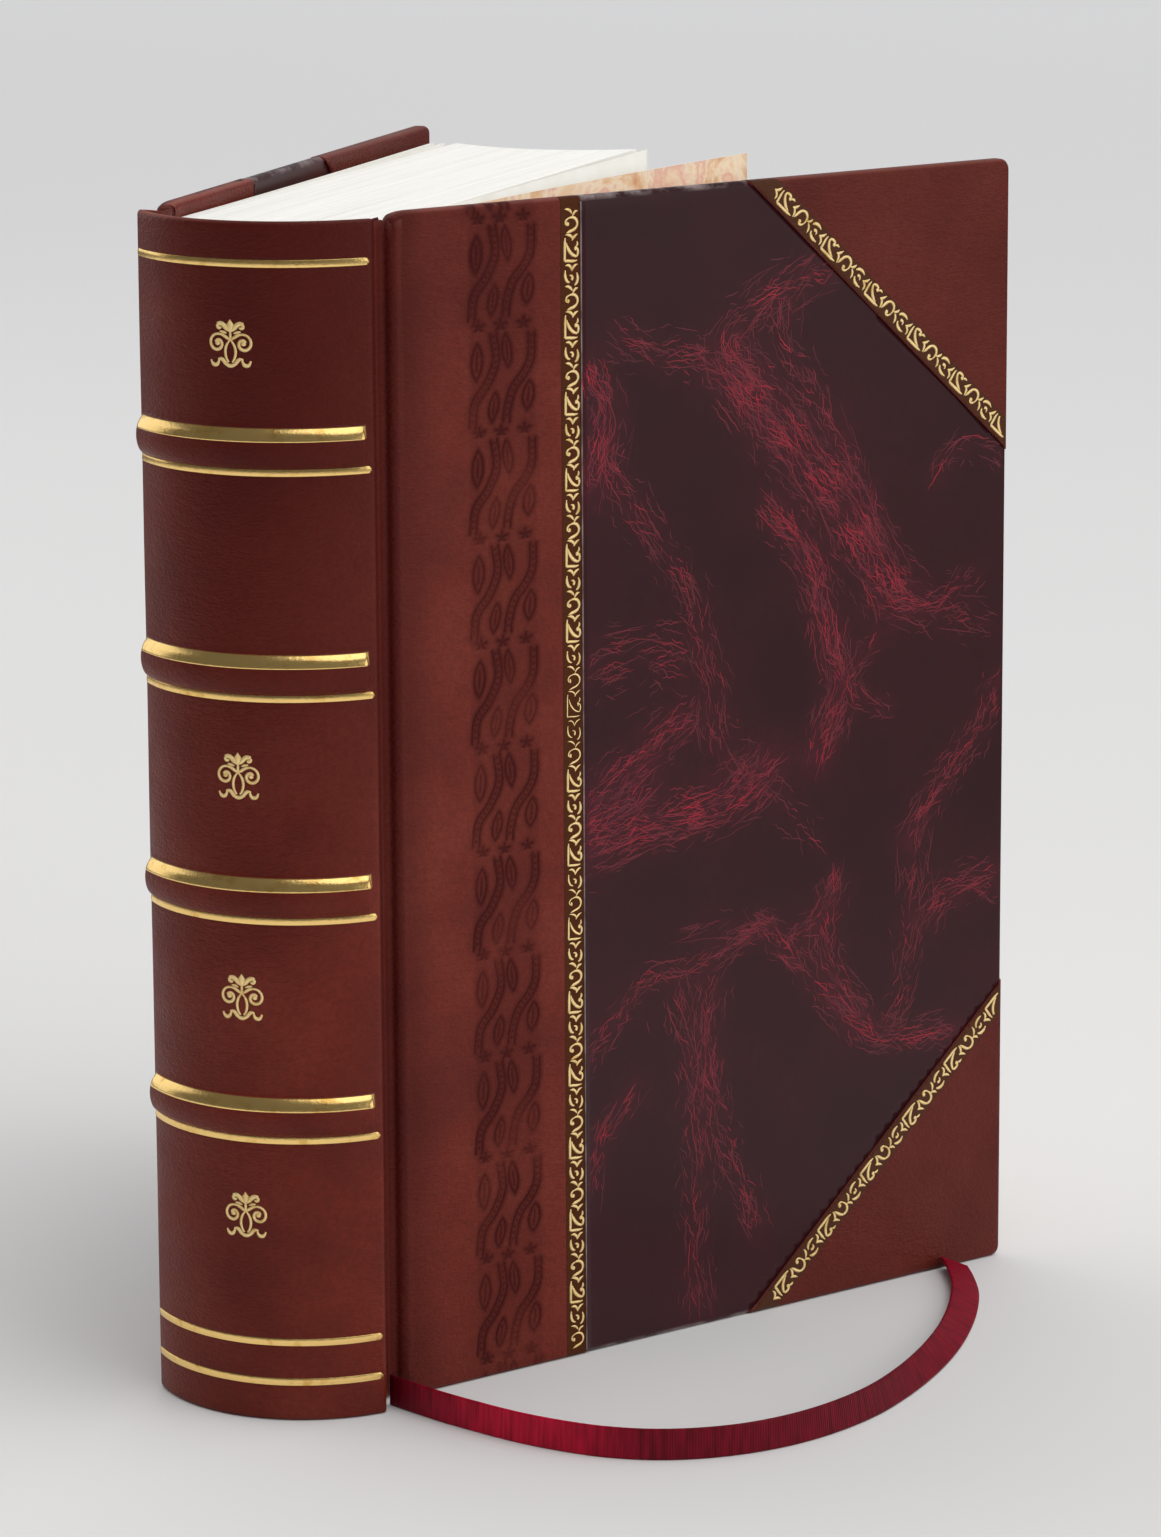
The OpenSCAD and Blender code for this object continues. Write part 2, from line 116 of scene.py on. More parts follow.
def buildMesh(name, verts, quads, uvs=None, tone=None):
    # vertices, quads by index, one UV and one tone per vertex: tooling, burnt bed and painted shade on
    # leather, redness and thread colour on the marbling
    verts = np.asarray(verts, np.float32).reshape(-1, 3)
    quads = np.asarray(quads, np.int32).reshape(-1, 4)
    mesh = bpy.data.meshes.new(name)
    mesh.vertices.add(len(verts))
    mesh.vertices.foreach_set("co", verts.ravel())
    mesh.loops.add(quads.size)
    mesh.loops.foreach_set("vertex_index", quads.ravel())
    mesh.polygons.add(len(quads))
    mesh.polygons.foreach_set("loop_start", np.arange(0, quads.size, 4, dtype=np.int32))
    mesh.polygons.foreach_set("use_smooth", np.ones(len(quads), bool))
    mesh.update(calc_edges=True)
    if uvs is not None:
        layer = mesh.uv_layers.new(name="surface")
        layer.data.foreach_set("uv", np.asarray(uvs, np.float32).reshape(-1, 2)[quads.ravel()].ravel())
    if tone is not None:
        attribute = mesh.attributes.new("tone", "FLOAT", "POINT")
        attribute.data.foreach_set("value", np.asarray(tone, np.float32).ravel())
    obj = bpy.data.objects.new(name, mesh)
    bpy.context.collection.objects.link(obj)
    return obj


def gridQuads(rows, cols, ring=False, start=0, flip=False):
    # quads of a grid of rows x cols points, row by row; a ring joins the last column to the first
    index = np.arange(rows * cols).reshape(rows, cols) + start
    if ring:
        index = np.hstack([index, index[:, :1]])
    a, b, c, d = index[:-1, :-1], index[1:, :-1], index[1:, 1:], index[:-1, 1:]
    quads = np.stack([a, d, c, b] if flip else [a, b, c, d], -1)
    return quads.reshape(-1, 4)


def weld(obj, gap=2e-6, turn=False):
    # merges doubles, drops faces that came out without area, and turns the faces outwards if asked
    bm = bmesh.new()
    bm.from_mesh(obj.data)
    bmesh.ops.remove_doubles(bm, verts=bm.verts, dist=gap)
    bmesh.ops.dissolve_degenerate(bm, edges=bm.edges, dist=gap)
    if turn:
        bmesh.ops.recalc_face_normals(bm, faces=bm.faces)
    bm.to_mesh(obj.data)
    bm.free()


def cutAway(obj, point, normal):
    # cuts the mesh along a plane and drops the side that the normal points to
    bm = bmesh.new()
    bm.from_mesh(obj.data)
    geom = bm.verts[:] + bm.edges[:] + bm.faces[:]
    bmesh.ops.bisect_plane(bm, geom=geom, dist=1e-7, plane_co=point, plane_no=normal, clear_outer=True)
    bm.to_mesh(obj.data)
    bm.free()


def giveThickness(obj, depth):
    # the sheet gets its thickness inwards, with a closed rim
    solid = obj.modifiers.new("thickness", "SOLIDIFY")
    solid.thickness = depth
    solid.offset = -1
    solid.use_even_offset = False


def smoothStep(x):
    x = np.clip(x, 0, 1)
    return x * x * (3 - 2 * x)


def curve(a, b, c, d, count=8):
    # cubic Bezier curve through a and d, pulled by b and c
    t = np.linspace(0, 1, count + 1)[:, None]
    u = 1 - t
    a, b, c, d = (np.asarray(p, float) for p in (a, b, c, d))
    return u**3 * a + 3 * u * u * t * b + 3 * u * t * t * c + t**3 * d


def pathFrame(path):
    # unit direction at each point of a path, and the direction to its right
    along = np.gradient(path, axis=0)
    along /= np.linalg.norm(along, axis=1, keepdims=True)
    return along, np.stack([along[:, 1], -along[:, 0]], 1)


def evenPath(points, step):
    # Catmull-Rom curve through the route's points, then points at even distances along it
    p = np.asarray(points, float)
    ends = np.vstack([2 * p[0] - p[1], p, 2 * p[-1] - p[-2]])
    t = np.linspace(0, 1, 24, endpoint=False)[:, None]
    parts = []
    for a, b, c, d in zip(ends[:-3], ends[1:-2], ends[2:-1], ends[3:]):
        parts.append(0.5 * (2 * b + (c - a) * t + (2 * a - 5 * b + 4 * c - d) * t**2
                            + (3 * b - a - 3 * c + d) * t**3))
    fine = np.vstack(parts + [p[-1:]])
    run = np.concatenate([[0], np.cumsum(np.linalg.norm(np.diff(fine[:, :2], axis=0), axis=1))])
    even = np.linspace(0, run[-1], int(run[-1] / step) + 1)
    return np.column_stack([np.interp(even, run, fine[:, i]) for i in range(p.shape[1])]), run[-1]


# materials

def newMaterial(name):
    mat = bpy.data.materials.new(name)
    mat.use_nodes = True
    tree = mat.node_tree
    return mat, tree, tree.nodes["Principled BSDF"]


def node(tree, kind, **values):
    # one shader node, with its settings and the plain values of its sockets
    made = tree.nodes.new(kind)
    for key, value in values.items():
        if key.startswith("in_"):
            made.inputs[key[3:].replace("_", " ")].default_value = value
        else:
            setattr(made, key, value)
    return made


def ramp(tree, source, stops):
    # colour ramp: stops are (place, colour)
    made = tree.nodes.new("ShaderNodeValToRGB")
    elements = made.color_ramp.elements
    while len(elements) < len(stops):
        elements.new(0.5)
    for element, (place, colour) in zip(elements, stops):
        element.position = place
        element.color = (*colour, 1) if len(colour) == 3 else colour
    tree.links.new(source, made.inputs["Fac"])
    return made.outputs["Color"]


def grey(value):
    return (value, value, value)


def mixColour(tree, factor, a, b, blend="MIX"):
    made = tree.nodes.new("ShaderNodeMix")
    made.data_type = "RGBA"
    made.blend_type = blend
    for socket, value in ((made.inputs[0], factor), (made.inputs[6], a), (made.inputs[7], b)):
        if isinstance(value, bpy.types.NodeSocket):
            tree.links.new(value, socket)
        elif isinstance(value, tuple):
            socket.default_value = (*value, 1)
        else:
            socket.default_value = value
    return made.outputs[2]


def maths(tree, operation, a, b=0.0, clamp=False):
    made = tree.nodes.new("ShaderNodeMath")
    made.operation = operation
    made.use_clamp = clamp
    for socket, value in zip(made.inputs, (a, b)):
        if isinstance(value, bpy.types.NodeSocket):
            tree.links.new(value, socket)
        else:
            socket.default_value = value
    return made.outputs[0]


def noise(tree, where, scale, detail=4, rough=0.5, distortion=0.0, turned=None):
    if turned is not None:
        mapping = node(tree, "ShaderNodeMapping", vector_type="POINT")
        mapping.inputs["Scale"].default_value = turned
        tree.links.new(where, mapping.inputs["Vector"])
        where = mapping.outputs["Vector"]
    made = node(tree, "ShaderNodeTexNoise", in_Scale=scale, in_Detail=detail, in_Roughness=rough,
                in_Distortion=distortion)
    tree.links.new(where, made.inputs["Vector"])
    return made.outputs["Fac"]


def bump(tree, height, distance, strength=1.0, under=None):
    made = node(tree, "ShaderNodeBump", in_Distance=distance, in_Strength=strength)
    tree.links.new(height, made.inputs["Height"])
    if under is not None:
        tree.links.new(under, made.inputs["Normal"])
    return made.outputs["Normal"]


leatherLook = {
    "dark": (0.080, 0.0070, 0.0040),
    "mid": (0.146, 0.0170, 0.0085),
    "light": (0.205, 0.0350, 0.0190),
    # painted light from above, on surfaces that face up
    "rubbedAndLitFromAbove": (0.290, 0.0850, 0.0600),
    "tooled": (0.055, 0.0070, 0.0060),
    "burnt": (0.070, 0.0190, 0.0050),
    "rough": 0.42,
    "gloss": 0.17,
}


# how dark the leather is by place: 0 is plain, 1 is tooled, 2 is burnt; the cover joint, fold, head, groove,
# spine middle and joint skin entries are painted shade
leatherTone = {
    "coverJointShade": 0.55,
    "pressed": 0.5,
    "column": 0.6,
    "shade": 0.45,
    "fold": 0.5,
    "head": 0.22,
    "burnt": 2.0,
    "groove": 0.6,
    "spineMiddleShade": 0.7,
    "skinGrooveShade": 0.65,
    "skinFoldShade": 0.5,
    "corner": 0.36,
}


def leatherMaterial(name, tooled=False):
    # goatskin: small irregular pebbles, fine creases across, colour in soft clouds, paler where it faces up
    # as painted light from above, darker where tooled and where painted shade lies in the tone
    mat, tree, shader = newMaterial(name)
    link = tree.links.new
    where = node(tree, "ShaderNodeTexCoord").outputs["Object"]
    clouds = noise(tree, where, 38, 5, 0.55)
    patches = noise(tree, where, 11, 3, 0.5)
    colour = ramp(tree, clouds, [(0.28, leatherLook["dark"]), (0.5, leatherLook["mid"]),
                                 (0.78, leatherLook["light"])])
    colour = mixColour(tree, maths(tree, "MULTIPLY", patches, 0.75), colour, leatherLook["mid"])
    speck = noise(tree, where, 900, 3, 0.6)
    colour = mixColour(tree, ramp(tree, speck, [(0.35, grey(0.35)), (0.62, grey(0))]), colour,
                       leatherLook["dark"])
    pebble = node(tree, "ShaderNodeTexVoronoi", feature="SMOOTH_F1", in_Scale=1500, in_Smoothness=0.6)
    wobble = noise(tree, where, 420, 2, 0.5)
    shifted = node(tree, "ShaderNodeVectorMath", operation="MULTIPLY_ADD")
    shifted.inputs[1].default_value = (0.0009, 0.0009, 0.0009)
    link(wobble, shifted.inputs[0])
    link(where, shifted.inputs[2])
    stretch = node(tree, "ShaderNodeMapping")
    stretch.inputs["Scale"].default_value = (0.8, 0.8, 1.5)
    link(shifted.outputs[0], stretch.inputs["Vector"])
    link(stretch.outputs[0], pebble.inputs["Vector"])
    # painted light from above: paler where it faces up, such as along the head edges
    facing = node(tree, "ShaderNodeSeparateXYZ")
    link(node(tree, "ShaderNodeTexCoord").outputs["Normal"], facing.inputs[0])
    colour = mixColour(tree, ramp(tree, facing.outputs["Z"], [(0.45, grey(0)), (0.95, grey(0.75))]), colour,
                       leatherLook["rubbedAndLitFromAbove"])
    # the tone darkens towards the tooled colour: real tooling, and painted shade in the joints, near the fold
    # and towards the head
    if tooled:
        tone = node(tree, "ShaderNodeAttribute", attribute_name="tone").outputs["Fac"]
        colour = mixColour(tree, maths(tree, "MINIMUM", tone, 1.0), colour, leatherLook["tooled"])
        colour = mixColour(tree, maths(tree, "SUBTRACT", tone, 1.0, clamp=True), colour, leatherLook["burnt"])
    link(colour, shader.inputs["Base Color"])
    gloss = ramp(tree, noise(tree, where, 60, 4, 0.6), [(0.3, grey(leatherLook["rough"] - 0.07)),
                                                       (0.7, grey(leatherLook["rough"] + 0.1))])
    link(gloss, shader.inputs["Roughness"])
    shader.inputs["Specular IOR Level"].default_value = leatherLook["gloss"]
    if tooled:
        dull = maths(tree, "MULTIPLY", maths(tree, "MINIMUM", tone, 1.0), -0.6 * leatherLook["gloss"])
        link(maths(tree, "ADD", dull, leatherLook["gloss"]), shader.inputs["Specular IOR Level"])
    fine = bump(tree, pebble.outputs["Distance"], 0.00022, 0.55)
    creases = noise(tree, where, 300, 4, 0.6, 0.4, (1, 1, 3.2))
    link(bump(tree, creases, 0.00030, 0.6, fine), shader.inputs["Normal"])
    return mat


goldLook = {
    "line": ((0.74, 0.43, 0.10), (0.97, 0.66, 0.235)),
    "stamp": ((0.76, 0.48, 0.14), (1.0, 0.73, 0.32)),
    "lineMetal": 0.85,
    "lineRough": 0.22,
    "stampMetal": 0.25,
    "stampRough": 0.32,
}


def goldMaterial(name, tones, metal, rough):
    # leaf pressed through glair: bright, with duller stretches where it is rubbed
    mat, tree, shader = newMaterial(name)
    where = node(tree, "ShaderNodeTexCoord").outputs["Object"]
    worn = noise(tree, where, 240, 4, 0.6)
    colour = ramp(tree, worn, [(0.3, tones[0]), (0.46, tones[1])])
    tree.links.new(colour, shader.inputs["Base Color"])
    shader.inputs["Metallic"].default_value = metal
    shader.inputs["Roughness"].default_value = rough
    tree.links.new(bump(tree, noise(tree, where, 1500, 3, 0.6), 0.00008, 0.5), shader.inputs["Normal"])
    return mat


marbleLook = {
    "ground": (0.0290, 0.0068, 0.0085),
    "haze": (0.066, 0.0085, 0.0150),
    "dull": (0.105, 0.023, 0.031),
    "bright": (0.47, 0.014, 0.036),
    "worn": (0.33, 0.27, 0.26),
    "rough": 0.36,
    "gloss": 0.21,
}


def marbledMaterial():
    # near-black burgundy ground, redder where veins run, worn pale in spots along head and tail edges
    mat, tree, shader = newMaterial("marbled_side_looks")
    link = tree.links.new
    where = node(tree, "ShaderNodeTexCoord").outputs["Object"]
    tone = node(tree, "ShaderNodeAttribute", attribute_name="tone").outputs["Fac"]
    mottle = ramp(tree, noise(tree, where, 420, 4, 0.65), [(0.3, grey(0.35)), (0.7, grey(1))])
    cloud = ramp(tree, noise(tree, where, 45, 3, 0.5), [(0.3, grey(0)), (0.75, grey(0.42))])
    haze = maths(tree, "MULTIPLY", maths(tree, "ADD", tone, cloud), mottle, clamp=True)
    colour = mixColour(tree, haze, marbleLook["ground"], marbleLook["haze"])
    height = node(tree, "ShaderNodeSeparateXYZ")
    link(where, height.inputs[0])
    fromEnd = maths(tree, "SUBTRACT", book["height"] / 2,
                    maths(tree, "ABSOLUTE", maths(tree, "SUBTRACT", height.outputs["Z"], book["height"] / 2)))
    nearEnd = maths(tree, "SUBTRACT", 1.0, maths(tree, "DIVIDE", fromEnd, 1.1 * mm), clamp=True)
    rubbedAndLitFromAbove = ramp(tree, noise(tree, where, 160, 4, 0.7), [(0.42, grey(0)), (0.62, grey(0.9))])
    colour = mixColour(tree, maths(tree, "MULTIPLY", nearEnd, rubbedAndLitFromAbove), colour, marbleLook["worn"])
    # the sheet's cut edge beside the gold roll shows its pale core
    across = node(tree, "ShaderNodeSeparateXYZ")
    link(node(tree, "ShaderNodeUVMap", uv_map="surface").outputs["UV"], across.inputs[0])
    atEdge = maths(tree, "LESS_THAN", across.outputs["X"], book["quarter"] + 0.06 * mm)
    core = ramp(tree, noise(tree, where, 210, 3, 0.6), [(0.35, grey(0.25)), (0.65, grey(0.8))])
    colour = mixColour(tree, maths(tree, "MULTIPLY", atEdge, core), colour, marbleLook["worn"])
    link(colour, shader.inputs["Base Color"])
    shader.inputs["Roughness"].default_value = marbleLook["rough"]
    shader.inputs["Specular IOR Level"].default_value = marbleLook["gloss"]
    link(bump(tree, noise(tree, where, 130, 3, 0.5), 0.00012, 0.4), shader.inputs["Normal"])
    return mat


def veinMaterial():
    # the hair-fine crimson threads: each has its own tone, from dull to bright
    mat, tree, shader = newMaterial("marbled_vein_looks")
    tone = node(tree, "ShaderNodeAttribute", attribute_name="tone").outputs["Fac"]
    tree.links.new(ramp(tree, tone, [(0, marbleLook["dull"]), (1, marbleLook["bright"])]),
                   shader.inputs["Base Color"])
    shader.inputs["Roughness"].default_value = marbleLook["rough"]
    shader.inputs["Specular IOR Level"].default_value = marbleLook["gloss"]
    return mat


paperLook = {
    "page": (0.86, 0.84, 0.78),
    "pageShade": (0.80, 0.77, 0.69),
    "pageTooth": 300,
    "pageRough": 0.75,
    "lining": (0.68, 0.64, 0.55),
    "liningShade": (0.55, 0.50, 0.42),
    "liningWeave": 900,
    "liningRough": 0.9,
}


def paperMaterial(name, colour, shade, scale, rough):
    # plain paper: faint clouds and a fine tooth
    mat, tree, shader = newMaterial(name)
    where = node(tree, "ShaderNodeTexCoord").outputs["Object"]
    clouds = noise(tree, where, 60, 4, 0.6)
    tree.links.new(ramp(tree, clouds, [(0.3, shade), (0.6, colour)]), shader.inputs["Base Color"])
    shader.inputs["Roughness"].default_value = rough
    tree.links.new(bump(tree, noise(tree, where, scale, 3, 0.6), 0.0001, 0.4), shader.inputs["Normal"])
    return mat


pageEdgeLook = {
    "dark": (0.80, 0.78, 0.72),
    "mid": (0.90, 0.89, 0.84),
    "light": (0.94, 0.93, 0.89),
    "rough": 0.8,
}


def pageEdgeMaterial():
    # cut page edges: thin grey lines between leaves, running along the block
    mat, tree, shader = newMaterial("page_edges_looks")
    where = node(tree, "ShaderNodeTexCoord").outputs["Object"]
    lines = noise(tree, where, 2600, 2, 0.7, 0.0, (1, 0.006, 0.004))
    broad = noise(tree, where, 420, 3, 0.6, 0.0, (1, 0.02, 0.01))
    both = maths(tree, "ADD", maths(tree, "MULTIPLY", lines, 0.6), maths(tree, "MULTIPLY", broad, 0.4))
    colour = ramp(tree, both, [(0.32, pageEdgeLook["dark"]), (0.5, pageEdgeLook["mid"]),
                               (0.66, pageEdgeLook["light"])])
    tree.links.new(colour, shader.inputs["Base Color"])
    shader.inputs["Roughness"].default_value = pageEdgeLook["rough"]
    tree.links.new(bump(tree, both, 0.0002, 0.35), shader.inputs["Normal"])
    return mat


endpaperLook = {
    "brown": (0.62, 0.30, 0.14),
    "orange": (0.74, 0.50, 0.30),
    "cream": (0.80, 0.66, 0.48),
    "pink": (0.72, 0.40, 0.30),
    "tan": (0.80, 0.62, 0.42),
    "rough": 0.6,
}


def endpaperMaterial():
    # marbled endpaper in tan: combed swirls of cream, orange and faint pink
    mat, tree, shader = newMaterial("end_paper_looks")
    link = tree.links.new
    where = node(tree, "ShaderNodeTexCoord").outputs["Object"]
    swirl = node(tree, "ShaderNodeTexNoise", in_Scale=55, in_Detail=4, in_Roughness=0.6, in_Distortion=2.2)
    link(where, swirl.inputs["Vector"])
    colour = ramp(tree, swirl.outputs["Fac"], [(0.3, endpaperLook["brown"]), (0.42, endpaperLook["orange"]),
                                              (0.5, endpaperLook["cream"]), (0.58, endpaperLook["pink"]),
                                              (0.72, endpaperLook["tan"])])
    link(colour, shader.inputs["Base Color"])
    shader.inputs["Roughness"].default_value = endpaperLook["rough"]
    return mat


ribbonLook = {
    "dark": (0.150, 0.0010, 0.009),
    "light": (0.320, 0.003, 0.022),
    "rough": 0.42,
    "gloss": 0.13,
}


def clothMaterial():
    # woven satin: deep red with fine ribs across
    mat, tree, shader = newMaterial("ribbon_looks")
    link = tree.links.new
    where = node(tree, "ShaderNodeUVMap", uv_map="surface").outputs["UV"]
    weave = noise(tree, where, 900, 2, 0.5, 0.0, (1, 0.1, 1))
    colour = ramp(tree, weave, [(0.3, ribbonLook["dark"]), (0.7, ribbonLook["light"])])
    # painted highlight on the silk in its first bend, painted shade at its start in the joint and towards its
    # end
    parts = node(tree, "ShaderNodeSeparateXYZ")
    link(where, parts.inputs[0])
    tone = ramp(tree, maths(tree, "MULTIPLY", parts.outputs["X"], 4.2),
                [(0.0, grey(0.3)), (0.05, grey(1.0)), (0.12, grey(1.9)), (0.19, grey(1.7)),
                 (0.26, grey(0.62)), (0.5, grey(0.46)), (0.8, grey(0.85))])
    colour = mixColour(tree, 1.0, colour, tone, "MULTIPLY")
    link(colour, shader.inputs["Base Color"])
    shader.inputs["Roughness"].default_value = ribbonLook["rough"]
    shader.inputs["Specular IOR Level"].default_value = ribbonLook["gloss"]
    link(bump(tree, weave, 0.00006, 0.5), shader.inputs["Normal"])
    return mat


cardLook = {
    "dark": (0.22, 0.20, 0.17),
    "light": (0.42, 0.38, 0.33),
    "rough": 0.9,
}


def boardMaterial():
    # grey board: pressed fibres, dull
    mat, tree, shader = newMaterial("grey_card_looks")
    where = node(tree, "ShaderNodeTexCoord").outputs["Object"]
    fibre = noise(tree, where, 700, 4, 0.7)
    tree.links.new(ramp(tree, fibre, [(0.3, cardLook["dark"]), (0.7, cardLook["light"])]),
                   shader.inputs["Base Color"])
    shader.inputs["Roughness"].default_value = cardLook["rough"]
    tree.links.new(bump(tree, fibre, 0.0002, 0.6), shader.inputs["Normal"])
    return mat


redLeather = leatherMaterial("red_leather_looks")
tooledLeather = leatherMaterial("tooled_leather_looks", tooled=True)
lineGold = goldMaterial("gold_line_looks", goldLook["line"], goldLook["lineMetal"], goldLook["lineRough"])
stampGold = goldMaterial("gold_tooling_looks", goldLook["stamp"], goldLook["stampMetal"],
                         goldLook["stampRough"])
marbled = marbledMaterial()
veinPrint = veinMaterial()
pagePaper = paperMaterial("page_paper_looks", paperLook["page"], paperLook["pageShade"],
                          paperLook["pageTooth"], paperLook["pageRough"])
pageEdges = pageEdgeMaterial()
endPaper = endpaperMaterial()
ribbonCloth = clothMaterial()
greyCard = boardMaterial()
liningCloth = paperMaterial("lining_looks", paperLook["lining"], paperLook["liningShade"],
                            paperLook["liningWeave"], paperLook["liningRough"])
print("materials made")


# the covers: each has its own frame, x out of its outer face, s from the hinge to the fore-edge, z up

class CoverFrame:
    def __init__(self, jointName, side):
        joint = next(j for j in frame["joints"] if j["name"] == jointName)
        opened = math.radians(-joint["range_deg"][0])
        self.side = side
        self.pivot = np.array([joint["pos_m"][0], joint["pos_m"][1], 0.0])
        self.out = np.array([side * math.cos(opened), -math.sin(opened), 0.0])
        self.along = np.array([side * math.sin(opened), math.cos(opened), 0.0])

    def toRow(self, x, s, z):
        x, s, z = np.broadcast_arrays(x, s, z)
        up = np.array([0.0, 0.0, 1.0])
        return self.pivot + x[..., None] * self.out + s[..., None] * self.along + z[..., None] * up


frontCover = CoverFrame("front_cover_hinge", 1)
backCover = CoverFrame("back_cover_hinge", -1)


def coverSection(half, stations, edge, jointSide, w):
    # section of a cover in plan: outer face, fore-edge with two quarter rounds, inner face, and on the
    # joint side half a circle about the hinge. Gives x, s, the point it closes on, and a running length
    x, s = [np.full(len(stations), half)], [stations]
    if stations[-1] >= w - edge - 1e-9:
        t = np.linspace(0, math.pi / 2, 6)[1:]
        x += [half - edge + edge * np.cos(t), np.array([0.0]), -half + edge - edge * np.sin(t)]
        s += [w - edge + edge * np.sin(t), np.array([w]), w - edge + edge * np.cos(t)]
    x.append(np.full(len(stations), -half))
    s.append(stations[::-1])
    if jointSide:
        t = np.linspace(math.pi, 0, 15)[1:-1]
        x = [half * np.cos(t)] + x
        s = [-half * np.sin(t)] + s
    x, s = np.concatenate(x), np.concatenate(s)
    middle = np.clip(s, 0, w - half)
    length = np.concatenate([[0], np.cumsum(np.hypot(np.diff(x), np.diff(s)))])
    return x, s, middle, length - length[np.argmax(x >= half - 1e-9)] + stations[0]


def cornerDrop(s, half):
    # how far head and tail come in at the cover's corners: a quarter circle at the fore-edge, a longer
    # and lower quarter ellipse at the joint
    r, reach = book["cornerRound"], book["jointRun"]
    atFore = np.clip(1 - (book["coverWidth"] - s) / r, 0, 1)
    atJoint = np.clip(1 - (s + half) / reach, 0, 1)
    return r * (1 - np.sqrt(1 - atFore**2)) + book["jointRise"] * (1 - np.sqrt(1 - atJoint**2))


def coverSkin(cover, half, stations, levels, jointSide=False, lift=None, bothFaces=False, under=0.0):
    # the section carried up the cover's height; at head and tail it turns over the board's edge in a
    # quarter round and closes on the board's middle line. lift moves the outer face along its normal
    h, edge = book["height"], book["edgeRound"]
    x, s, middle, run = coverSection(half, stations, min(edge, half - 1e-4), jointSide,
                                     book["coverWidth"] - under)
    t = np.linspace(0, math.pi / 2, 6)
    roundIn, roundUp = edge * (1 - np.cos(t)), edge * np.sin(t)
    inset = np.concatenate([[half], roundIn[::-1], np.zeros(len(levels)), roundIn, [half]])
    z = np.concatenate([[0], edge - roundUp[::-1], levels, h - edge + roundUp, [h]])
    keep = np.concatenate([[True], np.diff(z) + np.abs(np.diff(inset)) > 1e-8])
    inset, z = inset[keep], z[keep]
    share = 1 - inset[None, :] / half
    px = x[:, None] * share
    ps = middle[:, None] + (s - middle)[:, None] * share
    pz = np.repeat(z[None, :], len(x), 0)
    drop = cornerDrop(ps, half)
    reach = 5 * book["cornerRound"]
    pz = under + pz * (1 - 2 * under / h)
    pz = pz - drop * smoothStep((pz - h + reach) / reach) + drop * smoothStep((reach - pz) / reach)
    outer = np.zeros(len(x), bool)
    outer[np.abs(x - half) < 1e-9] = True
    if lift is not None:
        px = px + np.where(outer[:, None] & (inset[None, :] < 1e-9), lift(ps, pz), 0)
    if bothFaces:
        px = px - np.where((x < -half + 1e-9)[:, None] & (inset[None, :] < 1e-9), lift(ps, pz), 0)
    points = cover.toRow(px, ps, pz)
    uvs = np.stack([np.repeat(run[:, None], len(z), 1), np.repeat(z[None, :], len(x), 0)], -1)
    return points, uvs, x, s, z


def skinQuads(cover, shape, drop=None):
    quads = gridQuads(shape[0], shape[1], flip=cover.side < 0)
    if drop is not None:
        quads = quads[~drop[:-1, :-1].reshape(-1)]
    return quads


def turnInHole(x, s, z, half):
    # the part of the inner face that no turn-in covers: by face, so the last row and column don't count
    w, h, turn = book["coverWidth"], book["height"], book["turnIn"]
    inner = (x < -half + 1e-9) & (s <= w - turn + 1e-9)
    inner[:-1] &= inner[1:]
    rows = (z >= turn - 1e-9) & (z < h - turn - 1e-9)
    return inner[:, None] & rows[None, :]


# blind tooling beside the gold roll

blind = {
    "start": 16.6 * mm,
    "width": 16 * mm,
    "pitch": 21.2 * mm,
    "depth": 0.20 * mm,
    "line": 0.31 * mm,
}


def blindLeaf(x, low, high, bulge, lean=0.0):
    # a pointed leaf in outline, with a midrib
    a, b = (x - lean, low), (x + lean, high)
    rise = high - low
    sides = [curve(a, (x - lean + k, low + rise * 0.3), (x + lean + k, high - rise * 0.3), b, 6)
             for k in (-bulge * 1.35, bulge * 1.35)]
    return [(path, 1.0) for path in sides] + [(np.array([(x - lean / 2, low + rise * 0.25),
                                                         (x + lean / 2, high - rise * 0.25)]), 0.7)]


def blindRope(points):
    # two lines side by side with beads between them
    line, _ = evenPath(points, 0.03)
    _, side = pathFrame(line * np.array([16, 21.2]))
    side = side / np.array([16, 21.2]) * 0.78
    beads = [(np.array([p, p + 1e-4]), 1.15) for p in line[1:-1:2]]
    return [(line + side, 1.05), (line - side, 1.05)] + beads


def blindStrokes():
    # one repeat on a unit square: leaves, two beaded ropes that sweep down to the left, a row of flowers
    strokes = blindLeaf(0.113, 0.54, 0.89, 0.08, 0.01) + blindLeaf(0.566, 0.64, 0.96, 0.07, -0.02)
    strokes += blindLeaf(0.885, 0.22, 0.50, 0.085, 0.02) + blindLeaf(0.36, 0.14, 0.42, 0.07, 0.03)
    strokes += blindRope([(0.36, 0.97), (0.40, 0.72), (0.265, 0.50), (0.08, 0.33), (0.035, 0.10)])
    strokes += blindRope([(0.94, 0.95), (0.93, 0.72), (0.82, 0.57), (0.66, 0.44), (0.57, 0.26), (0.55, 0.13)])
    for x in (0.14, 0.47, 0.82):
        for turn in range(5):
            a = turn * 2 * math.pi / 5 + 0.3
            tip = (x + 0.085 * math.cos(a), 0.045 + 0.055 * math.sin(a))
            strokes.append((np.array([(x + 0.02 * math.cos(a), 0.045 + 0.015 * math.sin(a)), tip]), 1.1))
    return strokes


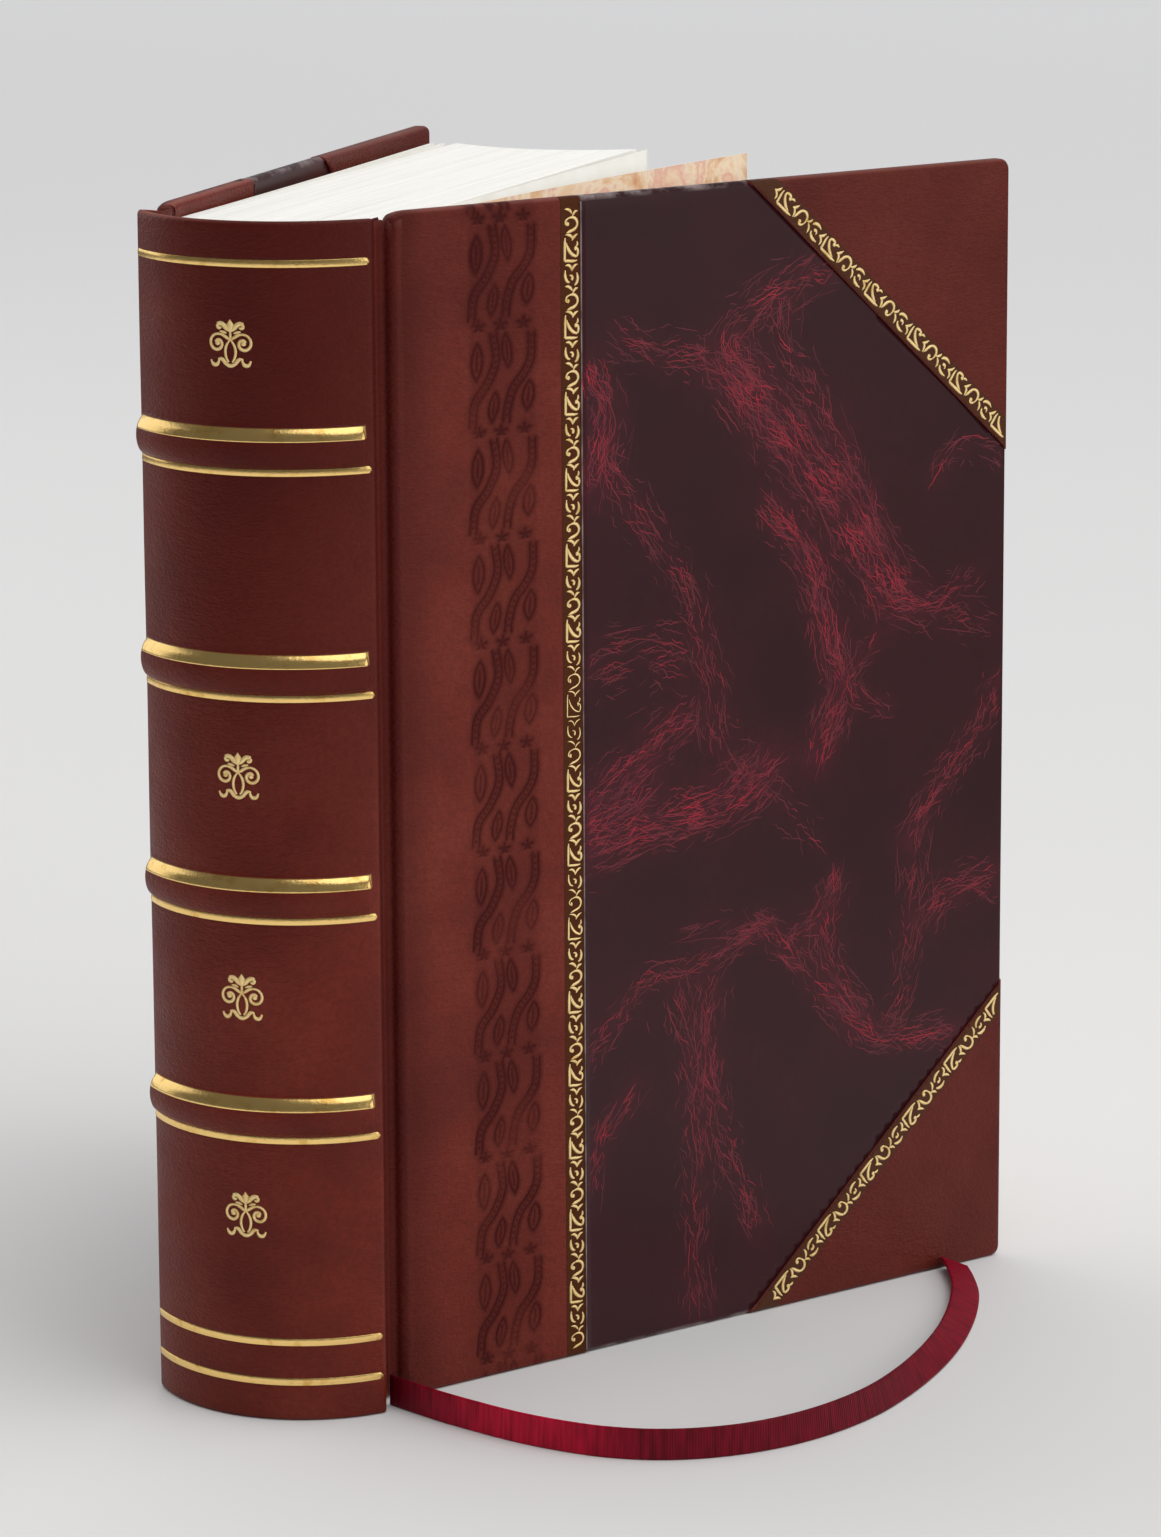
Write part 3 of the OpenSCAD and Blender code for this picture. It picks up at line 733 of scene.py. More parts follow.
def blindDepth(s, z):
    # depth of the nearest stroke's round channel at each point, repeated up the column and a little worn,
    # and the darkening of the leather: some over the whole column, more beside the strokes
    size = np.array([blind["width"], blind["pitch"]])
    u = s - blind["start"]
    v = np.mod(z - 3 * mm, blind["pitch"])
    spot = np.stack([u, v], -1).reshape(-1, 2)
    near = (spot[:, 0] > -mm) & (spot[:, 0] < blind["width"] + mm)
    depth, shade = np.zeros(len(spot)), np.zeros(len(spot))
    sought = spot[near]
    found, burnt = np.zeros(len(sought)), np.zeros(len(sought))
    for path, weight in blindStrokes():
        p = path * size
        a, b = p[:-1], p[1:]
        d = b - a
        rel = sought[:, None, :] - a[None]
        t = np.clip((rel * d).sum(-1) / (d * d).sum(-1), 0, 1)
        away = np.linalg.norm(rel - t[..., None] * d, axis=-1).min(1)
        found = np.maximum(found, smoothStep(1.25 - away / (blind["line"] * weight)))
        burnt = np.maximum(burnt, smoothStep(1.2 - away / (3.2 * blind["line"] * weight)))
    edge = np.minimum(sought[:, 0], blind["width"] - sought[:, 0])
    depth[near], shade[near] = found, burnt + leatherTone["column"] * smoothStep(0.5 + edge / mm)
    wear = 0.78 + 0.22 * np.sin(z * 211 + 3 * np.sin(s * 170)) * np.cos(z * 67)
    return depth.reshape(s.shape) * wear, shade.reshape(s.shape) * wear


roll = {
    "width": 4.6 * mm,
    "drawn": 3.9 * mm,
    "pitch": 15.4 * mm,
    "gap": 0.22 * mm,
    "height": 0.045 * mm,
    "sink": 0.05 * mm,
    "weight": 1.12,
}
rollStart = book["quarter"] - roll["gap"] - roll["width"]


def sideLift(s, z):
    # the leather's outer face: blind channels pressed in, the roll's bed a little sunk, soft undulation
    bed = smoothStep((s - rollStart + 0.3 * mm) / (0.3 * mm)) * smoothStep((book["quarter"] - s) / (0.3 * mm))
    soft = 0.03 * mm * np.sin(s * 160 + 1.3 * np.sin(z * 55)) * np.sin(z * 90 + 2)
    return soft - blind["depth"] * blindDepth(s, z)[0] - roll["sink"] * bed


def levelsFor(step):
    # heights of the grid's rows, with a row at each end of the turn-ins
    h, edge, turn = book["height"], book["edgeRound"], book["turnIn"]
    low = np.linspace(edge, turn, max(2, int((turn - edge) / step) + 1))
    middle = np.linspace(turn, h - turn, int((h - 2 * turn) / step) + 1)
    high = np.linspace(h - turn, h - edge, max(2, int((turn - edge) / step) + 1))
    return np.unique(np.concatenate([low, middle, high]).round(9))


def sideLeather(cover, name, body, replaced):
    half = book["boardHalf"] + book["leather"]
    fineStep = 0.28 * mm
    near, far = blind["start"], blind["start"] + blind["width"]
    columns = np.concatenate([np.linspace(0, 5 * mm, 9), np.linspace(6.2 * mm, near - 0.6 * mm, 7),
                              np.arange(near - 0.3 * mm, far + 0.4 * mm, fineStep),
                              np.linspace(far + mm, rollStart - 0.3 * mm, 4),
                              np.linspace(rollStart, book["quarter"] - 0.3 * mm, 4), [book["quarter"]]])
    levels = levelsFor(fineStep)
    points, uvs, x, s, z = coverSkin(cover, half, columns, levels, True, sideLift)
    # painted shade on the round edge in the joint
    tone = np.repeat(np.where(s < 0, leatherTone["coverJointShade"], 0.0)[:, None], len(z), 1)
    outer = np.abs(x - half) < 1e-9
    grid = np.meshgrid(s[outer], z, indexing="ij")
    pressed, shade = blindDepth(*grid)
    # painted shade: darker near the joint's fold and towards the head
    fold = leatherTone["fold"] * smoothStep((9 * mm - grid[0]) / (9 * mm))
    head = leatherTone["head"] * smoothStep((grid[1] - 180 * mm) / (50 * mm))
    darker = pressed * leatherTone["pressed"] + shade * leatherTone["shade"]
    tone[outer] = np.clip(darker + fold + head, 0, 1)
    burnt = (grid[0] > rollStart - 0.02 * mm) & (grid[0] < book["quarter"] + 0.5 * mm)
    tone[outer] = np.where(burnt, leatherTone["burnt"], tone[outer])
    obj = buildMesh(name, points, skinQuads(cover, points.shape, turnInHole(x, s, z, half)), uvs, tone)
    weld(obj)
    obj.data.materials.append(tooledLeather)
    finishPiece(obj, body, "red_leather", replaced)
    return obj


def boardCore(cover, name, body, replaced):
    # the board under its leather, with the same eased corners
    half, under = book["boardHalf"], book["leather"]
    columns = np.concatenate([np.linspace(0, 6 * mm, 7),
                              np.linspace(9 * mm, book["coverWidth"] - under - book["edgeRound"], 14)])
    points = coverSkin(cover, half, columns, levelsFor(30 * mm), True, under=under)[0]
    points = np.concatenate([points, points[:1]])
    obj = buildMesh(name, points, skinQuads(cover, points.shape))
    weld(obj)
    obj.data.materials.append(greyCard)
    finishPiece(obj, body, "grey_card", replaced)
    return obj


def finishPiece(obj, body, slot, *replaced):
    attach(obj, body)
    if replaced:
        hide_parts(*replaced)


def diagonal(cover, head, shift=0.0):
    # a corner's slanted edge as a plane: a point on it, and the normal towards the corner
    w, h = book["coverWidth"], book["height"]
    length = math.hypot(book["cornerW"], book["cornerH"])
    ns, nz = book["cornerH"] / length, -book["cornerW"] / length
    if head:
        nz = -nz
    point = cover.toRow(0.0, w - book["cornerW"] + shift * ns, (h if head else 0.0) + shift * nz)
    return point, cover.along * ns + np.array([0, 0, nz])


def cornerLeather(cover, name, body, replaced, head):
    half = book["boardHalf"] + book["leather"]
    w, edge = book["coverWidth"], book["edgeRound"]
    columns = np.unique(np.concatenate([np.linspace(w - book["cornerW"] - 4 * mm, w - book["turnIn"], 46),
                                        np.linspace(w - book["turnIn"], w - edge, 14)]).round(9))
    points, uvs, x, s, z = coverSkin(cover, half, columns, levelsFor(1.2 * mm))
    drop = turnInHole(x, s, z, half)
    far = z < book["height"] / 2 if head else z > book["height"] / 2
    drop = drop | far[None, :]
    # distance into the leather from its slanted edge, for the burnt bed of the gold roll
    ns, nz = diagonal(cover, head)[1] @ cover.along, diagonal(cover, head)[1][2]
    base = book["height"] if head else 0.0
    into = (s[:, None] - (w - book["cornerW"])) * ns + (z[None, :] - base) * nz
    tone = np.where((x > 0)[:, None], into, -1.0)
    obj = buildMesh(name, points, skinQuads(cover, points.shape, drop), uvs, tone)
    weld(obj)
    point, normal = diagonal(cover, head)
    cutAway(obj, point, -normal)
    obj.data.materials.append(cornerLeatherLook)
    giveThickness(obj, book["leather"])
    finishPiece(obj, body, "red_leather", replaced)
    return obj


def cornerMaterial():
    # as the other leather, a little darker, with the burnt bed of the roll along the slanted edge
    mat = redLeather.copy()
    mat.name = "corner_leather_looks"
    tree = mat.node_tree
    shader = tree.nodes["Principled BSDF"]
    into = node(tree, "ShaderNodeAttribute", attribute_name="tone").outputs["Fac"]
    low = maths(tree, "GREATER_THAN", into, roll["gap"])
    high = maths(tree, "LESS_THAN", into, roll["gap"] + roll["width"])
    plain = shader.inputs["Base Color"].links[0].from_socket
    colour = mixColour(tree, leatherTone["corner"], plain, leatherLook["tooled"])
    tree.links.new(mixColour(tree, maths(tree, "MULTIPLY", low, high), colour, leatherLook["burnt"]),
                   shader.inputs["Base Color"])
    return mat


cornerLeatherLook = cornerMaterial()


# marbling: each vein is a half width, a density and points on the cover from the hinge and the tail, in mm
veins = [
    (4.0, 0.6, [(53, 211), (63, 207), (74, 205), (87, 201)]),
    (4.5, 0.8, [(106, 221), (95, 217), (86, 212), (81, 208), (83, 201), (91, 191)]),
    (6.0, 1.3, [(82, 202), (92, 191), (99, 183), (108, 173), (116, 162), (125, 150)]),
    (3.5, 0.7, [(95, 211), (96, 205), (102, 197), (107, 188), (114, 176), (120, 162)]),
    (4.0, 1.3, [(93, 171), (101, 162), (105, 151), (108, 141), (110, 132), (104, 118)]),
    (2.0, 0.7, [(119, 141), (114, 135), (114, 131), (124, 125)]),
    (4.5, 1.2, [(46, 204), (50, 196), (49, 189), (46, 181)]),
    (3.8, 0.6, [(48, 187), (58, 174), (66, 164), (72, 155), (73, 149), (77, 138), (78, 127), (86, 116)]),
    (2.6, 0.6, [(153, 176), (145, 180), (139, 178), (136, 174)]),
    (3.5, 0.5, [(120, 152), (129, 148), (137, 148), (147, 152)]),
    (4.0, 0.5, [(125, 149), (136, 145), (154, 140)]),
    (3.8, 0.8, [(153, 128), (148, 119), (140, 111), (134, 104), (129, 98)]),
    (3.4, 0.6, [(130, 96), (130, 88), (129, 78), (127, 64), (124, 58)]),
    (4.0, 0.9, [(155, 85), (147, 85), (139, 84), (133, 79)]),
    (6.0, 0.5, [(45, 143), (53, 145), (61, 146), (70, 144)]),
    (4.0, 0.9, [(71, 131), (63, 127), (53, 121), (45, 116)]),
    (5.0, 1.2, [(45, 107), (58, 109), (73, 111), (85, 114), (92, 119)]),
    (4.5, 0.9, [(45, 111), (53, 114), (60, 118)]),
    (3.0, 0.4, [(90, 113), (97, 107), (104, 99)]),
    (2.2, 0.7, [(109, 92), (108, 87), (104, 83), (97, 80)]),
    (3.2, 0.9, [(108, 88), (106, 82), (107, 74), (113, 64), (121, 55), (141, 53)]),
    (2.6, 0.7, [(45, 63), (52, 70), (61, 78), (73, 78), (90, 84)]),
    (3.0, 0.8, [(90, 84), (98, 76), (109, 64), (118, 57)]),
    (2.6, 0.4, [(71, 85), (81, 85), (92, 84)]),
    (2.8, 0.8, [(46, 36), (48, 45), (57, 54)]),
    (4.0, 0.6, [(69, 72), (72, 59), (72, 44), (73, 30), (72, 17), (73, 2)]),
    (3.6, 0.7, [(77, 73), (75, 61), (77, 48), (81, 37), (88, 19)]),
]
# on the back cover one more vein runs over the head into the turn-in
backVeins = veins + [(5.0, 1.2, [(79, 222), (80, 230), (82, 240)])]
fibre = {"perMm2": 0.9, "short": (1.2, 4.2), "long": (5.0, 12.0), "longShare": 0.19, "width": (0.09, 0.23),
         "lean": 0.50, "points": 9}


def veinLine(points, step=0.8):
    # smooth line through a vein's points, evenly divided, in metres
    line, length = evenPath(points, step)
    return line * mm, length * mm


def veinHaze(s, z, back=False):
    # how red the ground is: each vein adds its density times a bell over the distance from its line
    s, z = np.broadcast_arrays(s, z)
    spot = np.stack([s, z], -1).reshape(-1, 1, 2)
    total = np.zeros(len(spot))
    for halfWidth, density, points in (backVeins if back else veins):
        line, _ = veinLine(points, 3.0)
        away = np.linalg.norm(spot - line[None], axis=-1).min(1)
        total += 0.72 * density * np.exp(-(away / (halfWidth * mm * 1.15)) ** 2)
    return np.clip(total, 0, 1).reshape(s.shape)


def veinFibres(back):
    # threads along each vein: they start anywhere on it, lean a little to either side, waver and taper
    draw = np.random.default_rng(41 if back else 17)
    paths, widths, tones = [], [], []
    for halfWidth, density, points in (backVeins if back else veins):
        line, length = veinLine(points)
        along, side = pathFrame(line)
        count = int(fibre["perMm2"] * density * 2 * halfWidth * length / mm)
        start = draw.uniform(-0.06, 1.0, count)
        clump = 0.5 + 0.5 * np.sin(start * length / mm * 0.42 + halfWidth * 3)
        start = start[draw.uniform(0, 1, count) < 0.45 + 0.55 * clump][:, None]
        n = len(start)
        offset = np.where(draw.uniform(0, 1, (n, 1)) < 0.75, draw.normal(0, 0.55, (n, 1)),
                          draw.uniform(-1.5, 1.5, (n, 1))) * halfWidth * mm
        isLong = draw.uniform(0, 1, (n, 1)) < fibre["longShare"]
        longOnes, shortOnes = (draw.uniform(*fibre[kind], (n, 1)) for kind in ("long", "short"))
        reach = np.where(isLong, longOnes, shortOnes) * mm
        lean = fibre["lean"] * draw.choice([-1, 1], (n, 1)) * draw.uniform(0.25, 1.3, (n, 1))
        lean = np.where(isLong, 0.3 * lean, lean)
        u = np.linspace(-0.5, 0.5, fibre["points"])[None, :] * reach
        waver = draw.uniform(0.06, 0.24, (n, 1)) * mm * np.sin(u / mm * draw.uniform(1.8, 4.2, (n, 1))
                                                             + draw.uniform(0, 6.3, (n, 1)))
        place = np.clip(start + u / length, 0, 1) * (len(line) - 1)
        beyond = (start + u / length - np.clip(start + u / length, 0, 1)) * length
        index = np.arange(len(line))
        base = np.stack([np.interp(place, index, line[:, i]) for i in (0, 1)], -1)
        across = np.stack([np.interp(place, index, side[:, i]) for i in (0, 1)], -1)
        ahead = np.stack([np.interp(place, index, along[:, i]) for i in (0, 1)], -1)
        away = offset + lean * u + waver
        paths.append(base + across * away[..., None] + ahead * beyond[..., None])
        thin = np.exp(-(offset / (halfWidth * mm)) ** 2)
        knot = 0.45 + 0.55 * np.sin(start * length / mm * 0.23 + halfWidth) ** 2
        strength = 0.15 + 0.85 * thin
        tone = draw.uniform(0.05, 1, (n, 1)) ** 1.6 * strength * knot * min(1, 0.3 + 0.62 * density)
        tones.append(np.repeat(tone, fibre["points"], 1))
        taperShape = np.sqrt(np.clip(1 - (2 * u / reach) ** 2, 0.01, 1))
        widths.append(draw.uniform(*fibre["width"], (n, 1)) * mm * taperShape)
    return np.concatenate(paths), np.concatenate(widths), np.concatenate(tones)


def paperLift(s, z):
    # the paper laps over the leather's edge, and is never quite even
    q = book["quarter"]
    step = book["leather"] - book["sidePaper"] + 0.12 * mm
    soft = 0.04 * mm * np.sin(s * 75 + 2 * np.sin(z * 31)) * np.sin(z * 47)
    return step * smoothStep((q + 1.2 * mm - s) / (0.85 * mm)) + soft * smoothStep((s - q) / (8 * mm))


def sideVeins(cover, name, body):
    # every thread is a narrow strip one or two hundredths of a millimetre over the paper, kept inside
    # its outline
    path, width, tone = veinFibres(cover.side < 0)
    w, h, q, edge = book["coverWidth"], book["height"], book["quarter"] - 0.15 * mm, book["edgeRound"]
    s, z = path[..., 0], path[..., 1]
    slope = book["cornerH"] / book["cornerW"]
    limit = np.minimum(z, h - z) - (s - (w - book["cornerW"])) * slope
    keep = (s.min(1) > q) & (s.max(1) < w - edge) & (z.min(1) > edge) & (z.max(1) < h - edge)
    keep &= limit.min(1) > 0.1 * mm
    path, width, tone = path[keep], width[keep], tone[keep]
    along = np.gradient(path, axis=1)
    along /= np.linalg.norm(along, axis=-1, keepdims=True)
    side = np.stack([along[..., 1], -along[..., 0]], -1) * width[..., None] / 2
    grid = np.stack([path - side, path + side], 2)
    lift = paperLift(grid[..., 0], grid[..., 1]) + rng.uniform(0.010, 0.024, (len(path), 1, 1)) * mm
    half = book["boardHalf"] + book["sidePaper"]
    points = cover.toRow(half + lift, grid[..., 0], grid[..., 1])
    n, m = path.shape[:2]
    start = (np.arange(n) * m * 2)[:, None] + np.arange(m - 1)[None, :] * 2
    quads = np.stack([start, start + 1, start + 3, start + 2], -1).reshape(-1, 4)
    if cover.side < 0:
        quads = quads[:, ::-1]
    obj = buildMesh(name, points, quads, None, np.repeat(tone[..., None], 2, 2))
    obj.data.materials.append(veinPrint)
    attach(obj, body)
    print(name, len(obj.data.polygons) * 2, "triangles")
    return obj


def sidePaper(cover, name, body, replaced):
    # marbled paper: laps over the leather's cut edge, then lies on the board, and turns in on three sides
    half = book["boardHalf"] + book["sidePaper"]
    w, q = book["coverWidth"], book["quarter"]
    columns = np.unique(np.concatenate([q + np.array([-0.2, 0.0, 0.3, 0.6, 1.0, 1.6]) * mm,
                                        np.linspace(q + 3 * mm, w - book["turnIn"], 40),
                                        np.linspace(w - book["turnIn"], w - book["edgeRound"], 8)]).round(9))
    points, uvs, x, s, z = coverSkin(cover, half, columns, levelsFor(2 * mm), False, paperLift, True)
    haze = veinHaze(s[:, None], z[None, :], cover.side < 0)
    obj = buildMesh(name, points, skinQuads(cover, points.shape, turnInHole(x, s, z, half)), uvs, haze)
    weld(obj)
    for head in (False, True):
        cutAway(obj, *diagonal(cover, head))
    obj.data.materials.append(marbled)
    giveThickness(obj, book["sidePaper"])
    finishPiece(obj, body, "marbled_paper", replaced)
    return obj


for cover, side, body in ((frontCover, "front", "front_cover"), (backCover, "back", "back_cover")):
    boardCore(cover, side + "_board_core", body, side + "_board")
    sideLeather(cover, side + "_side_leather_skin", body, side + "_side_leather")
    cornerLeather(cover, side + "_head_corner_skin", body, side + "_head_corner", True)
    cornerLeather(cover, side + "_tail_corner_skin", body, side + "_tail_corner", False)
    sidePaper(cover, side + "_marbled_sheet", body, side + "_side_paper")
    sideVeins(cover, side + "_marbled_veins", body)
print("covers made")


# gold: strokes are closed low ridges, laid on a surface given by a function of two parameters

def strokeRidge(path, widths, height):
    # four-sided tube: left edge, crest, right edge and a sunk keel, thin at both ends
    _, side = pathFrame(path)
    half = np.asarray(widths)[:, None] / 2
    left, right = path - side * half, path + side * half
    sunk = -0.06 * mm
    rows = []
    for place, lift in ((left, 0.0), (path, height), (right, 0.0), (path, sunk)):
        rows.append(np.column_stack([place, np.full(len(path), lift)]))
    return np.stack(rows, 1)


def strokesMesh(name, ridges, surface, flip=False):
    # ridges are arrays of (points, 4, 3) in surface coordinates: across, up and height
    verts, quads, start = [], [], 0
    for ridge in ridges:
        n, k = ridge.shape[:2]
        verts.append(surface(ridge[..., 0], ridge[..., 1], ridge[..., 2]).reshape(-1, 3))
        quads.append(gridQuads(n, k, ring=True, start=start, flip=flip))
        ends = np.array([[start + 3, start + 2, start + 1, start],
                         [start + (n - 1) * k + j for j in range(4)]])
        quads.append(ends[:, ::-1] if flip else ends)
        start += n * k
    obj = buildMesh(name, np.concatenate(verts), np.concatenate(quads))
    obj.data.materials.append(stampGold)
    return obj


def taper(path, width, start, end):
    # a stroke's width along its path: thinner at both ends by the given shares
    t = np.linspace(0, 1, len(path))
    body = start + (1 - start) * smoothStep(t / 0.35)
    tail = end + (1 - end) * smoothStep((1 - t) / 0.35)
    return path, width * body * tail


def ball(x, y, r, count=6):
    # a dot: a short stroke whose width follows a circle
    t = np.linspace(-1, 1, count + 3)
    path = np.column_stack([np.full(len(t), x), y + r * t])
    return path, 2 * r * np.sqrt(np.clip(1 - t * t, 0.02, 1))


def rollRepeat():
    # one repeat of the roll on a unit square: a C scroll with a ball end, leaf tips, long leaves
    # on the outer side, a small scroll and a pair of leaves
    w = roll["drawn"]
    unit = np.array([w, roll["pitch"]])
    drawn = [
        (curve((0.34, 0.955), (0.78, 1.0), (1.02, 0.90), (0.84, 0.835)), 0.15, 0.5, 0.8),
        (curve((0.84, 0.835), (0.70, 0.79), (0.42, 0.79), (0.22, 0.765)), 0.15, 0.8, 0.3),
        (curve((0.34, 0.955), (0.14, 0.935), (0.12, 0.885), (0.24, 0.868)), 0.12, 0.6, 0.6),
        (curve((0.16, 0.745), (0.40, 0.75), (0.58, 0.72), (0.60, 0.685)), 0.14, 0.3, 0.5),
        (curve((0.92, 0.745), (0.72, 0.72), (0.60, 0.70), (0.58, 0.665)), 0.14, 0.3, 0.5),
        (curve((0.14, 0.705), (0.10, 0.66), (0.12, 0.50), (0.10, 0.405)), 0.15, 0.4, 0.9),
        (curve((0.22, 0.64), (0.26, 0.56), (0.50, 0.47), (0.84, 0.455)), 0.17, 0.3, 0.7),
        (curve((0.84, 0.455), (0.98, 0.48), (0.98, 0.555), (0.80, 0.572)), 0.14, 0.7, 0.6),
        (curve((0.10, 0.405), (0.30, 0.415), (0.60, 0.385), (0.88, 0.405)), 0.14, 0.9, 0.4),
        (curve((0.88, 0.65), (0.92, 0.62), (0.90, 0.60), (0.82, 0.585)), 0.12, 0.4, 0.6),
        (curve((0.14, 0.345), (0.36, 0.365), (0.50, 0.33), (0.52, 0.285)), 0.14, 0.3, 0.5),
        (curve((0.90, 0.355), (0.72, 0.345), (0.56, 0.31), (0.54, 0.27)), 0.14, 0.3, 0.5),
        (curve((0.14, 0.285), (0.08, 0.21), (0.16, 0.13), (0.40, 0.125)), 0.16, 0.4, 0.5),
        (curve((0.84, 0.245), (0.98, 0.18), (0.90, 0.10), (0.70, 0.085)), 0.16, 0.4, 0.5),
        (curve((0.40, 0.215), (0.56, 0.22), (0.66, 0.18), (0.56, 0.15)), 0.12, 0.4, 0.7),
        (curve((0.12, 0.075), (0.34, 0.085), (0.50, 0.05), (0.56, 0.015)), 0.14, 0.3, 0.5),
        (curve((0.92, 0.045), (0.78, 0.045), (0.64, 0.02), (0.60, -0.02)), 0.13, 0.3, 0.5),
    ]
    strokes = [taper(path * unit, w * thick * roll["weight"], a, b) for path, thick, a, b in drawn]
    for x, y, r in ((0.30, 0.882, 0.105), (0.78, 0.560, 0.105), (0.55, 0.168, 0.075)):
        strokes.append(ball(x * unit[0], y * unit[1], r * w))
    margin = np.array([(roll["width"] - roll["drawn"]) / 2 + 0.1 * mm, 0])
    return [(path + margin, width) for path, width in strokes]


def rollAlong(length, offset):
    # repeats laid end to end, and only the strokes that lie whole within the length
    ridges = []
    for i in range(-1, int(length / roll["pitch"]) + 2):
        for path, widths in rollRepeat():
            moved = path + np.array([0, i * roll["pitch"] + offset])
            if moved[:, 1].min() > 0 and moved[:, 1].max() < length:
                ridges.append(strokeRidge(moved, widths, roll["height"]))
    return ridges


def coverGold(cover, name, body, replaced):
    half = book["boardHalf"] + book["leather"]
    h, w, rim = book["height"], book["coverWidth"], book["edgeRound"] + 0.4 * mm
    ridges = []
    for ridge in rollAlong(h - 2 * rim, 4 * mm):
        ridges.append(ridge + np.array([rollStart, rim, -roll["sink"]]))
    length = math.hypot(book["cornerW"], book["cornerH"])
    ds, dz = book["cornerW"] / length, book["cornerH"] / length
    for ridge in rollAlong(length, 2 * mm):
        across, up = roll["gap"] + ridge[..., 0], ridge[..., 1]
        s = w - book["cornerW"] + up * ds + across * dz
        z = up * dz - across * ds
        inside = (z.min() > book["edgeRound"]) and (s.max() < w - book["edgeRound"])
        if inside:
            ridges.append(np.stack([s, z, ridge[..., 2]], -1))
            ridges.append(np.stack([s, h - z, ridge[..., 2]], -1)[:, ::-1])
    obj = strokesMesh(name, ridges, lambda s, z, lift: cover.toRow(half + lift, s, z), flip=cover.side < 0)
    weld(obj, 1e-7, turn=True)
    finishPiece(obj, body, "gold_tooling", replaced)
    return obj


for cover, side in ((frontCover, "front"), (backCover, "back")):
    coverGold(cover, side + "_gold_roll", side + "_cover", side + "_gold")
print("cover gold made")


# the spine: its leather is carried along a path in plan, from one groove over the arch to the other

spine = {
    "chord": 49.5 * mm,
    "sag": 11.6 * mm,
    "jointWidth": 12.2 * mm,
    "grooveDepth": 2.5 * mm,
    "fold": 1.4 * mm,
    "jointGap": 0.4 * mm,
    "backThickness": 2.0 * mm,
    "bandLow": 62.6 * mm,
    "bandPitch": 44.5 * mm,
    "bandCount": 4,
    "bandWidth": 7.8 * mm,
    "bandProud": 1.8 * mm,
    "bandEnd": math.radians(3.5),
    "lineWidth": 1.6 * mm,
    "lineLift": 0.07 * mm,
    "linePressed": 0.09 * mm,
    "headRound": 1.0 * mm,
    "headDip": 0.9 * mm,
    "tailDip": 0.6 * mm,
    "jointSkin": 0.3 * mm,
}
centre = (frontCover.pivot + backCover.pivot) / 2
chordY = frontCover.pivot[1] - spine["jointWidth"]
spineR = (spine["chord"] ** 2 / 4 + spine["sag"] ** 2) / (2 * spine["sag"])
arcY = chordY + spineR - spine["sag"]
spineA = math.asin(spine["chord"] / 2 / spineR)


def grooveCurve():
    # fold at the spine's edge, then the groove's floor up to the cover's round edge, measured from the chord
    half, f = spine["chord"] / 2, spine["fold"]
    floor = half - spine["grooveDepth"]
    endY = spine["jointWidth"] - book["boardHalf"] - book["leather"] - spine["jointGap"]
    first = curve((half, 0), (half + f / 7, f), (floor + f * 0.64, f * 1.36), (floor + f / 7, f * 2.57), 10)
    second = curve((floor, f * 3.3), (floor - f / 7, spine["jointWidth"] / 2), (floor - f / 7, endY - f),
                   (floor, endY), 10)
    return np.vstack([first, second])


def spinePath():
    # plan of the leather's outer side, evened out and softened so that the fold is round
    groove = grooveCurve()
    a = np.linspace(-spineA, spineA, 120)
    arc = np.column_stack([spineR * np.sin(a), arcY - chordY - spineR * np.cos(a)])
    left = groove[::-1] * np.array([-1, 1])
    path = np.vstack([left[:-1], arc, groove[1:]])
    run = np.concatenate([[0], np.cumsum(np.linalg.norm(np.diff(path, axis=0), axis=1))])
    even = np.linspace(0, run[-1], 260)
    path = np.column_stack([np.interp(even, run, path[:, i]) for i in (0, 1)])
    weights = np.array([1, 2, 3, 2, 1]) / 9
    for _ in range(3):
        padded = np.pad(path, ((2, 2), (0, 0)), mode="edge")
        soft = sum(k * padded[i:i + len(path)] for i, k in enumerate(weights))
        soft[:2], soft[-2:] = path[:2], path[-2:]
        path = soft
    return path


def bandHeight(i):
    return spine["bandLow"] + i * spine["bandPitch"]


def bandRise(z):
    # height over the panels of four rounded bands: half an ellipse each, eased at its feet
    rise = np.zeros_like(z)
    for shift, share in ((-0.5, 0.12), (-0.25, 0.22), (0.0, 0.32), (0.25, 0.22), (0.5, 0.12)):
        for i in range(spine["bandCount"]):
            t = np.abs(z + shift * mm - bandHeight(i)) / (spine["bandWidth"] / 2)
            rise = rise + share * spine["bandProud"] * np.clip(1 - t * t, 0, 1) ** 0.55
    return rise


def bandTaper(angle):
    ease = math.radians(2.2)
    return smoothStep((spineA - spine["bandEnd"] + ease / 2 - np.abs(angle)) / ease)


def drape(angle, z):
    # the skin is never quite even: slow waves of a few hundredths of a millimetre
    wave = np.sin(angle * 5 + np.sin(z * 40) * 1.5) * np.sin(z * 61 + 1) + 0.6 * np.sin(z * 133 + angle * 9)
    return 0.045 * mm * wave


def spineLevels():
    fine = [np.arange(-6.5, 6.6, 0.3) * mm + bandHeight(i) for i in range(spine["bandCount"])]
    lines = [np.arange(-1.6, 1.7, 0.4) * mm + z for z in lineHeights()]
    coarse = np.arange(1.2 * mm, book["height"] - mm, 1.5 * mm)
    every = np.sort(np.concatenate(fine + lines + [coarse]))
    every = every[(every > 1.1 * mm) & (every < book["height"] - 1.1 * mm)]
    return every[np.concatenate([[True], np.diff(every) > 0.12 * mm])]


def lineHeights():
    low = [bandHeight(i) - spine["bandWidth"] / 2 - spine["lineWidth"] / 2 for i in range(spine["bandCount"])]
    return [8.1 * mm, 16.3 * mm, book["height"] - 8.1 * mm] + low


